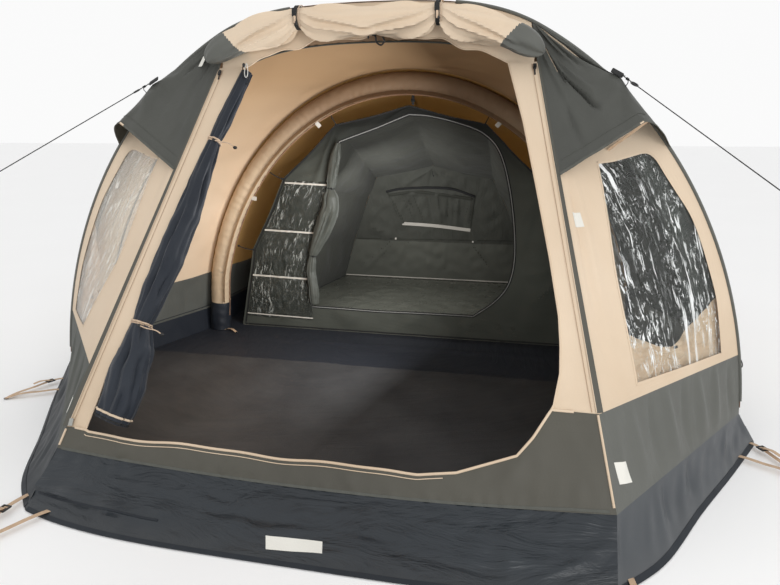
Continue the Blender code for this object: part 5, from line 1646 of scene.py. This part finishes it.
def makeCabinRear():
    rows, columns = 65, 96
    side = facetLine(cabin["rear"][:-1] + ((0.02, 1.238),), rows)
    x = np.linspace(-1, 1, columns) * (side[:, :1] - 0.004)
    z = (side[:, 1:] + cabin["floorTop"] * (1 - side[:, 1:])) * np.ones((1, columns))
    folds = rearFolds + looseFolds(161, 18, (-0.9, 0.05), (0.9, 1), 0.2, 0.5, 0.35, 0.03, 0.008)
    lift = (ridges(x, z, folds) + ripple(x, z, 162, 0.16) * 0.004 + 0.004) * edgeFade(rows, columns, 0.08)
    grid = rearAt(x, z, lift)
    made = shell(grid, 0.0012)
    low = made["points"][made["faces"]].mean(axis=1)[:, 2] < 0.445
    made["material"] = np.where(low & (made["material"] == 0), 4, made["material"])
    facing = (0, -0.92, -0.39)
    rope = onRearWall(((-0.44, 0.95), (-0.2, 0.985), (0, 0.975), (0.36, 0.93)), 0.012)
    patches = [made, along(rope, roundProfile(0.016, 10, 0.6), facing, material=1)]
    for points, lift, width, thickness, material in rearBands:
        patches.append(along(onRearWall(points, lift), flatProfile(width, thickness), facing,
            material=material))
    for x, z in ((-0.416, 0.484), (0.376, 0.481)):
        patches.append(block(rearAt(x, z, 0.013), (0.016, 0.02, 0.004), (1, 0, 0), (0, 0.39, 0.92),
            material=3))
    hook = rearAt(0, 1.2, 0.02)
    hook = curveThrough(hook + [(0, 0, 0), (0, -0.01, -0.03), (0.008, -0.012, -0.05),
        (0.012, -0.012, -0.035)], 24)
    patches.append(along(hook, roundProfile(0.003), material=2))
    addCloth("inner_rear_wall", patches, [cabinCloth, cabinDark, blackWebbing, whiteTrim, cabinLow],
        grid[::2, ::3])


def makeCabinFloor():
    rows, columns = 72, 84
    t = evenly(rows)[:, None]
    x = np.linspace(-1, 1, columns) * mixed(*cabin["floorHalf"], t)
    y = mixed(cabin["frontY"] - 0.008, cabin["rearFootY"] - 0.004, t) * np.ones((1, columns))
    folds = looseFolds(171, 44, (-1.2, 0.3), (1, 1.9), 0.4, 0.8, 0.45, 0.022, 0.012)
    crinkle = np.abs(ripple(x, y, 172, 0.22, 10)) * 0.006 + np.clip(ridges(x, y, folds), 0, 0.02)
    grid = np.stack([x, y, cabin["floorTop"] + crinkle * edgeFade(rows, columns, 0.06)], axis=-1)
    addCloth("inner_floor", [shell(grid, inside=0)], [cabinFloorCloth], grid[::3, ::3])


pockets = {"heights": (0.1, 0.43, 0.8, 1.18), "y": 0.236, "rows": 120, "columns": 44, "bulge": 0.018}


def makePockets():
    rows, columns, stops = pockets["rows"], pockets["columns"], np.array(pockets["heights"])
    z = np.linspace(stops[0] - 0.01, stops[-1] + 0.008, rows)[:, None]
    s = evenly(columns)[None]
    frame, doorway = (np.interp(z, *np.array(cabin[edge]).T[::-1]) for edge in ("front", "doorLeft"))
    x = mixed(0.035 - frame, -doorway, s)
    index = np.clip(np.searchsorted(stops, z, side="right") - 1, 0, 2)
    within = np.clip((z - stops[index]) / np.diff(stops)[index], 0, 1)
    fade = arched(s, 0.6)
    folds = looseFolds(181, 60, (-1.2, 0.1), (-0.7, 1.1), 0.5, 0.9, 0.2, 0.014, 0.008)
    crinkle = (ripple(x, z, 182, 0.07, 12) * 0.003 + ridges(x, z, folds)) * fade
    out = np.maximum(pockets["bulge"] * arched(within**1.3, 0.8) * fade + 0.006 + crinkle, 0.0015)
    grid = np.stack(np.broadcast_arrays(x, pockets["y"] - out, z), axis=-1)
    patches = [shell(grid, 0.0009, inside=0)]
    for number, height in enumerate(stops):
        row = int(np.clip(np.searchsorted(z[:, 0], height), 2, rows - 3))
        path = grid[row] + forward * 0.003
        path[:, 2] += np.linspace(0.006, -0.006, columns)
        patches.append(along(path, flatProfile(0.013 if number else 0.009, 0.0018), forward, material=1))
    addCloth("net_pockets", patches, [pocketMesh, whiteTrim], grid[::4, ::3],
        kind="mesh")


innerRoll = {
    "y": 0.1965, "ties": (1.14, 0.62),
    "route": ((-0.745, 0.24), (-0.745, 0.36), (-0.755, 0.5), (-0.735, 0.63), (-0.655, 0.82), (-0.59, 1),
              (-0.585, 1.14), (-0.545, 1.32), (-0.511, 1.47)),
    "stops": (0.24, 0.3, 0.44, 0.6, 0.66, 0.8, 0.95, 1.08, 1.14, 1.22, 1.38, 1.47),
    "sizes": (0.036, 0.044, 0.04, 0.034, 0.04, 0.064, 0.074, 0.062, 0.036, 0.042, 0.04, 0.018),
}


def makeInnerRoll():
    # The cabin's own door, tied back in a narrow bundle beside its doorway
    rows, sides, route = 200, 40, np.array(innerRoll["route"])
    z = np.linspace(route[0, 1], route[-1, 1], rows)
    x = np.interp(z, route[:, 1], route[:, 0]) + 0.006 * np.sin(z * 8)
    path = np.stack([x, np.full(rows, innerRoll["y"]), z], axis=1)
    radius = np.interp(z, innerRoll["stops"], innerRoll["sizes"])
    profile, size = gathered(path, radius, 191, (3, 5, 8), 0.36, sides, innerRoll["ties"], 0.22, 1.4,
        np.clip(0.045 / radius, 0.4, 0.9).mean())
    patches = [along(path, profile, forward)]
    for tie in innerRoll["ties"]:
        row = int(np.searchsorted(z, tie))
        ring = patches[0]["points"].reshape(rows, sides, 3)[row]
        centre = ring.mean(axis=0)
        patches += [along(ring + unit(ring - centre) * 0.0025, roundProfile(0.003), closed=True, material=1),
            bead(centre + (0.02, -size[row].max() - 0.004, 0), 0.007, material=1)]
    piece = addPiece("inner_door_roll_cloth", patches, [cabinRoll, blackBraid], ["inner_door_roll"])


elastics = (((0.535, 1.595), (0.585, 1.7)), ((0.974, 1.2), (1.075, 1.262)), ((1.245, 0.64), (1.36, 0.675)))


def makeElastics():
    # Short elastics with ball toggles that hold the cabin's front frame to the air arch
    patches = []
    for (x, z), (farX, farZ) in elastics:
        for sign in (1, -1):
            start = np.array([sign * x, cabin["frontY"] - 0.002, z])
            end = np.array([sign * farX, cabin["frontY"] - 0.035, farZ])
            path = curveThrough([start, (start + end) / 2 + (0, -0.004, -0.006), end], 24)
            patches += [along(path, roundProfile(0.0038), forward), bead(end, 0.009, material=2),
                block(start + (0, -0.004, 0.004), (0.016, 0.028, 0.003), (0, 0, 1), (sign, 0, 0),
                material=1)]
    peak = np.array([0.03, cabin["frontY"] - 0.004, 1.735])
    strap = curveThrough(peak + [(0, 0, 0), (0, -0.008, 0.035), (0.004, -0.03, 0.07)], 20)
    patches += [along(strap, flatProfile(0.018, 0.002), (0, -1, 0.2), material=1),
        block(peak + (0, -0.012, 0.03), (0.026, 0.02, 0.006), (1, 0, 0), (0, 0, 1), material=1)]
    addPiece("cabin_elastics", patches, [blackBraid, blackWebbing, blackPlastic])


makeCabinFront()
makeCanopy()
makeCabinRear()
makeCabinFloor()
makePockets()
makeInnerRoll()
makeElastics()
print("cabin made")


# Vent hoods, guy lines with their pegs, webbing straps, cords and small fittings

vents = {"top": 0.86, "from": 0.2, "to": 0.6}
guys = {"point": (1.24, -0.985, 1.812), "foot": (3.2, -3.4, 0.02), "radius": 0.0024, "seat": 0.0053,
    "pegRadius": 0.004}
straps = {"front": ((1.255, -2.232), (1.09, -2.32), (1.28, -2.69)),
    "side": ((2.025, -1.08), (1.93, -1.235), (2.16, -1.374)), "width": 0.024, "thickness": 0.0018,
    "height": 0.003}


def makeVents():
    # A small grey hood with a stiff curved edge over a meshed vent, low on the wall
    rise = 1 + (vents["top"] - tent["bandTop"]) / (tent["hoodHem"] - tent["bandTop"])
    share = np.linspace(vents["from"], vents["to"], 40)[:, None]
    top = mixed(archAt(frontArch, rise, tent["coverDepth"]), archAt(midArch, rise), share) + (0.006, 0, 0)
    top[:, 2] = vents["top"]
    bow = arched(evenly(40))
    reach = np.stack([0.085 + 0.105 * bow, -0.015 * bow, -0.25 + 0.03 * bow], axis=1)
    t = evenly(26)[:, None]
    grid = mixed(top + reach, top, t[..., None])
    grid[..., 0] += 0.012 * np.sin(math.pi * t) + 0.003 * bow * np.sin(3 * math.pi * t)
    for side in ("right", "left"):
        patches = [shell(grid, 0.002), along(grid[0], roundProfile(0.0042), (1, 0, 0), material=2),
            tapeOn(grid, np.s_[-2, :], 0.012, 0.0016, 2, 0.0006)]
        addCloth("vent_hood_" + side, patches, [greyRipstop, liningAndPaintedShade, greyTape], grid,
            side)


def makeGuys():
    start, foot = np.array(guys["point"]) + (0.001, -0.0027, 0.0009), np.array(guys["foot"])
    way = unit((foot - start) * (1, 1, 0))
    span = unit(foot - start)
    across = unit(np.cross(span, (0, 0, 1)))
    high = np.cross(across, span)
    thread = along(lineThrough([start, foot], 260), roundProfile(guys["radius"]),
        scale=1 + 0.04 * np.sin(evenly(260) * 900))
    knot, slider = start + span * 0.035, start + span * 0.085
    # The knot, its loose end and the ring that tightens the line, close below the hood's tip
    wound, ring = roundSection(0.0042, angles(20)), roundSection(1, angles(28)) * (0.019, 0.014)
    fittings = [along(knot + span * shift + wound[:, :1] * across + wound[:, 1:] * high,
        roundProfile(0.0023, 6), span, True) for shift in (-0.006, 0, 0.006)]
    tail = curveThrough([knot + high * 0.004, knot + high * -0.012 + span * 0.012,
        knot + high * -0.03 + span * 0.01, knot + high * -0.045 + span * 0.022], 20)
    bar = lineThrough([slider - across * 0.014, slider + across * 0.014], 6)
    fittings += [along(tail, roundProfile(0.002, 6), (1, 0, 0)),
        along(slider + ring[:, :1] * span + ring[:, 1:] * across, roundProfile(0.0036), high, True,
        material=1), along(bar, roundProfile(0.003), high, material=1)]
    peg = (foot + way * guys["seat"]) * (1, 1, 0)
    bend = curveThrough([peg + way * back + (0, 0, z) for back, z in (
        (0, 0.056), (-0.006, 0.066), (-0.018, 0.066), (-0.024, 0.054))], 16)
    stake = np.concatenate([lineThrough([peg + (0, 0, 0.001), peg + (0, 0, 0.052)], 12), bend])
    stake = along(stake, roundProfile(guys["pegRadius"], 12), (0.3, 0.9, 0.1))
    for side in ("right", "left"):
        addPiece("guy_" + side + "_line", [thread], [blackBraid], ["guy_" + side], side)
        addPiece("guy_" + side + "_fittings", fittings, [blackBraid, blackPlastic], side=side)
        addPiece("guy_peg_" + side + "_wire", [stake], [steelWire], ["guy_peg_" + side], side)


def ladderBuckle(centre, way):
    # A moulded frame with two windows and a bar, the webbing running through it
    across = unit(np.cross((0, 0, 1), way))
    parts = [block(centre + across * sign * 0.017, (0.046, 0.006, 0.007), way, across, 0.4, 1)
        for sign in (-1, 1)]
    for shift in (-0.02, -0.002, 0.018):
        bar = lineThrough([centre + way * shift - across * 0.017, centre + way * shift + across * 0.017], 6)
        parts.append(along(bar, roundProfile(0.0036), np.cross(way, across), material=1))
    return parts


def makeStraps():
    for name in ("front", "side"):
        level, width, share = straps["height"], straps["width"], evenly(60)
        end = np.array([*straps[name][2], level])
        patches = []
        for number, place in enumerate(straps[name][:2]):
            start = np.array([*place, level])
            way = unit(end - start)
            path = mixed(start - way * 0.035, end + way * 0.006, share[:, None])
            lift = 0.016 * arched(share * 1.02) + 0.004 * np.sin(share * 9 + number)
            path[:, 2] += 0.0015 + 0.01 * (1 - share) + np.clip(lift, 0, None) + 0.0022 * number * share
            patches.append(along(path, flatProfile(width, straps["thickness"])))
            if number == 0:
                spot = path[16] + (0, 0, 0.003)
                tail = curveThrough([spot + (0, 0, 0.004), spot + way * 0.05 + (0.004, 0, 0.014),
                    spot + way * 0.09 + (0.012, 0, 0.008)], 24)
                patches += [*ladderBuckle(spot, way), along(tail, flatProfile(width * 0.96, 0.0016))]
        ring = end + np.insert(roundSection(0.012, angles(28)), 2, 0.004, axis=1)
        patches.append(along(ring, roundProfile(0.0022), closed=True, material=1))
        for side in ("right", "left"):
            node = "strap_" + name + "_" + side
            addPiece(node + "_webbing", patches, [beigeWebbing, blackPlastic], [node], side)


def hungLoop(top, width, length, radius, material, lean=(0, 0)):
    # A loop of cord hanging from a point
    turn = angles(44)
    x = width / 2 * np.sin(turn) * np.sin(turn / 2) ** 0.6
    z = -length / 2 * (1 - np.cos(turn))
    path = top + np.stack([x - z * lean[0], z * lean[1], z], axis=1)
    return along(path, roundProfile(radius), forward, True, material=material)


def makeFittings():
    finishes = [blackPlastic, blackBraid, whiteBraid, barePatch, zipSilver, blackWebbing]
    # The hook that hangs below the middle of the doorway's top edge
    top = np.array([0.03, -0.925, 2.035])
    hook = curveThrough(top + [(-0.04, 0, -0.016), (-0.03, -0.008, 0.004), (0, -0.008, -0.008),
        (0.006, -0.008, -0.036), (0.03, -0.008, -0.05), (0.047, -0.008, -0.032), (0.038, -0.008, -0.012)],
        60)
    patches = [along(hook, roundProfile(0.0046), forward), along(lineThrough(top
        + [(0, 0.004, 0.02), (0, -0.006, -0.004)], 8), flatProfile(0.012, 0.0016), forward, material=5)]
    # Cords and toggles at the top left corner of the doorway, where the gathered door is tied up
    corner = np.array([-0.668, -1.005, 1.9])
    patches += [hungLoop(corner, 0.035, 0.1, 0.0026, 1, (0.12, 0)),
        hungLoop(corner + (0.018, -0.004, 0.004), 0.022, 0.07, 0.0024, 2, (-0.1, 0)),
        bead(corner + (0.004, -0.006, -0.005), 0.009, (1, 0.9, 1.2)),
        bead(corner + (-0.008, -0.006, -0.102), 0.007)]
    # A zip pull at the top of each pillar, on the left one with a small bare tag, and a slider at its foot
    onPillar = ((1, 0, 0), (0, 0.543, 0.84))
    for sign in (-1, 1):
        spot = onSlope(sign * (pillarX(1.862) - 0.018), 1.862, 0.007)
        pull = curveThrough(spot + [(0, -0.004, -0.012), (0.004 * sign, -0.012, -0.04),
            (0.012 * sign, -0.012, -0.062)], 18)
        patches += [block(spot, (0.016, 0.03, 0.008), *onPillar),
            along(pull, flatProfile(0.008, 0.002), (0, -1, 0.2), material=5)]
        if sign < 0:
            foot = onSlope(sign * (pillarX(0.26) - 0.02), 0.262, 0.006)
            patches += [block(spot + (-0.095, 0, 0.06), (0.03, 0.07, 0.0012), (0.9, -0.42, 0),
                (0.25, 0.5, 0.83), 0.15, 3), block(foot, (0.02, 0.035, 0.008), *onPillar, material=4)]
    addPiece("door_fittings", patches, finishes)
    # Elastic loops with their pegging ends low beside each arch foot
    spot = archAt(frontArch, 0.93, 0.02) + (0.006, 0, 0)
    strap = curveThrough(spot + [(0.004, 0, -0.03), (0.016, 0, -0.07), (0.012, 0, -0.1)], 16)
    patches = [hungLoop(spot, 0.03, 0.055, 0.0028, 1, (0.25, 0)),
        along(strap, flatProfile(0.012, 0.0016), (1, -0.4, 0.2), material=2)]
    for side in ("right", "left"):
        addPiece("side_loops_" + side, patches, finishes, side=side)
    # Curtain toggles behind the windows
    for side in ("right", "left"):
        u, rise = curtain[side]["toggle"]
        level = unit(sideCloth(u + 0.02, rise, side) - sideCloth(u - 0.02, rise, side))
        toggle = block(sideCloth(u, rise, side) - sideOut * 0.0055, (0.028, 0.012, 0.004), level,
            np.cross(sideOut, level), 0.4)
        addPiece("curtain_toggle_" + side, [toggle], finishes, side=side)
    # Toe straps that tie the middle arch's feet to the groundsheet
    patches = []
    for sign in (1, -1):
        start, end = np.array([sign * 1.44, 0.075, 0.02]), np.array([sign * 1.335, 0.02, 0.012])
        path = curveThrough([start, (start + end) / 2 + (0, 0, 0.012), end], 20)
        patches += [along(path, flatProfile(0.02, 0.0018)), bead(end, 0.009, (1.3, 1, 0.8), 1)]
    addPiece("toe_straps", patches, [beigeWebbing, blackPlastic])


makeVents()
makeGuys()
makeStraps()
makeFittings()
print("small parts made")


# Floor, light and camera

studio = {
    "world": 0.96, "floorHalf": 60,
    "lamps": [
        ("frontSoft", (3.6, -6.8, 2.8), (0.2, -0.8, 0.8), (3.4, 2.4), 125),
        ("livingFill", (0.1, -0.72, 0.98), (-1.6, -0.2, 0.95), (0.6, 1), 24),
        ("cabinFill", (-0.5, 0.55, 0.95), (0.3, 1.8, 0.4), (0.3, 0.3), 9),
    ],
}


def placed(name, data, place=(0, 0, 0), turn=(0, 0, 0)):
    holder = bpy.data.objects.new(name, data)
    holder.location, holder.rotation_euler = place, turn
    bpy.context.scene.collection.objects.link(holder)
    return holder


def makeStudio():
    mesh, far = bpy.data.meshes.new("floor"), studio["floorHalf"]
    mesh.from_pydata([(-far, -far, 0), (far, -far, 0), (far, far, 0), (-far, far, 0)], [], [(0, 1, 2, 3)])
    paper, tree, shader, cloth, space = newFinish("pale floor")
    colour = blended(tree, noiseOn(tree, space, 0.7, 2), (0.9, 0.9, 0.9, 1), (0.92, 0.92, 0.92, 1))
    fill(tree, shader, {"Base Color": colour, "Roughness": 0.9})
    mesh.materials.append(paper)
    placed("floor", mesh)
    world = bpy.data.worlds.new("studio")
    world.use_nodes = True
    fill(world.node_tree, world.node_tree.nodes["Background"], {0: (1, 1, 1, 1), 1: studio["world"]})
    bpy.context.scene.world = world
    for name, place, aim, size, power in studio["lamps"]:
        lamp = bpy.data.lights.new(name, "AREA")
        lamp.shape, lamp.energy = "RECTANGLE", power
        lamp.size, lamp.size_y = size
        placed(name, lamp, place, (Vector(aim) - Vector(place)).to_track_quat("-Z", "Y").to_euler())


def makeCamera():
    view = bpy.data.cameras.new("camera")
    view.sensor_width = 36
    view.lens = camera["focalPixels"] / camera["pictureWidth"] * view.sensor_width
    turn = (math.radians(90 - camera["tiltDown"]), 0, math.radians(camera["turnLeft"]))
    bpy.context.scene.camera = placed("camera", view, camera["place"], turn)


makeStudio()
makeCamera()
bpy.context.scene.view_settings.view_transform = "Standard"
print("studio made")
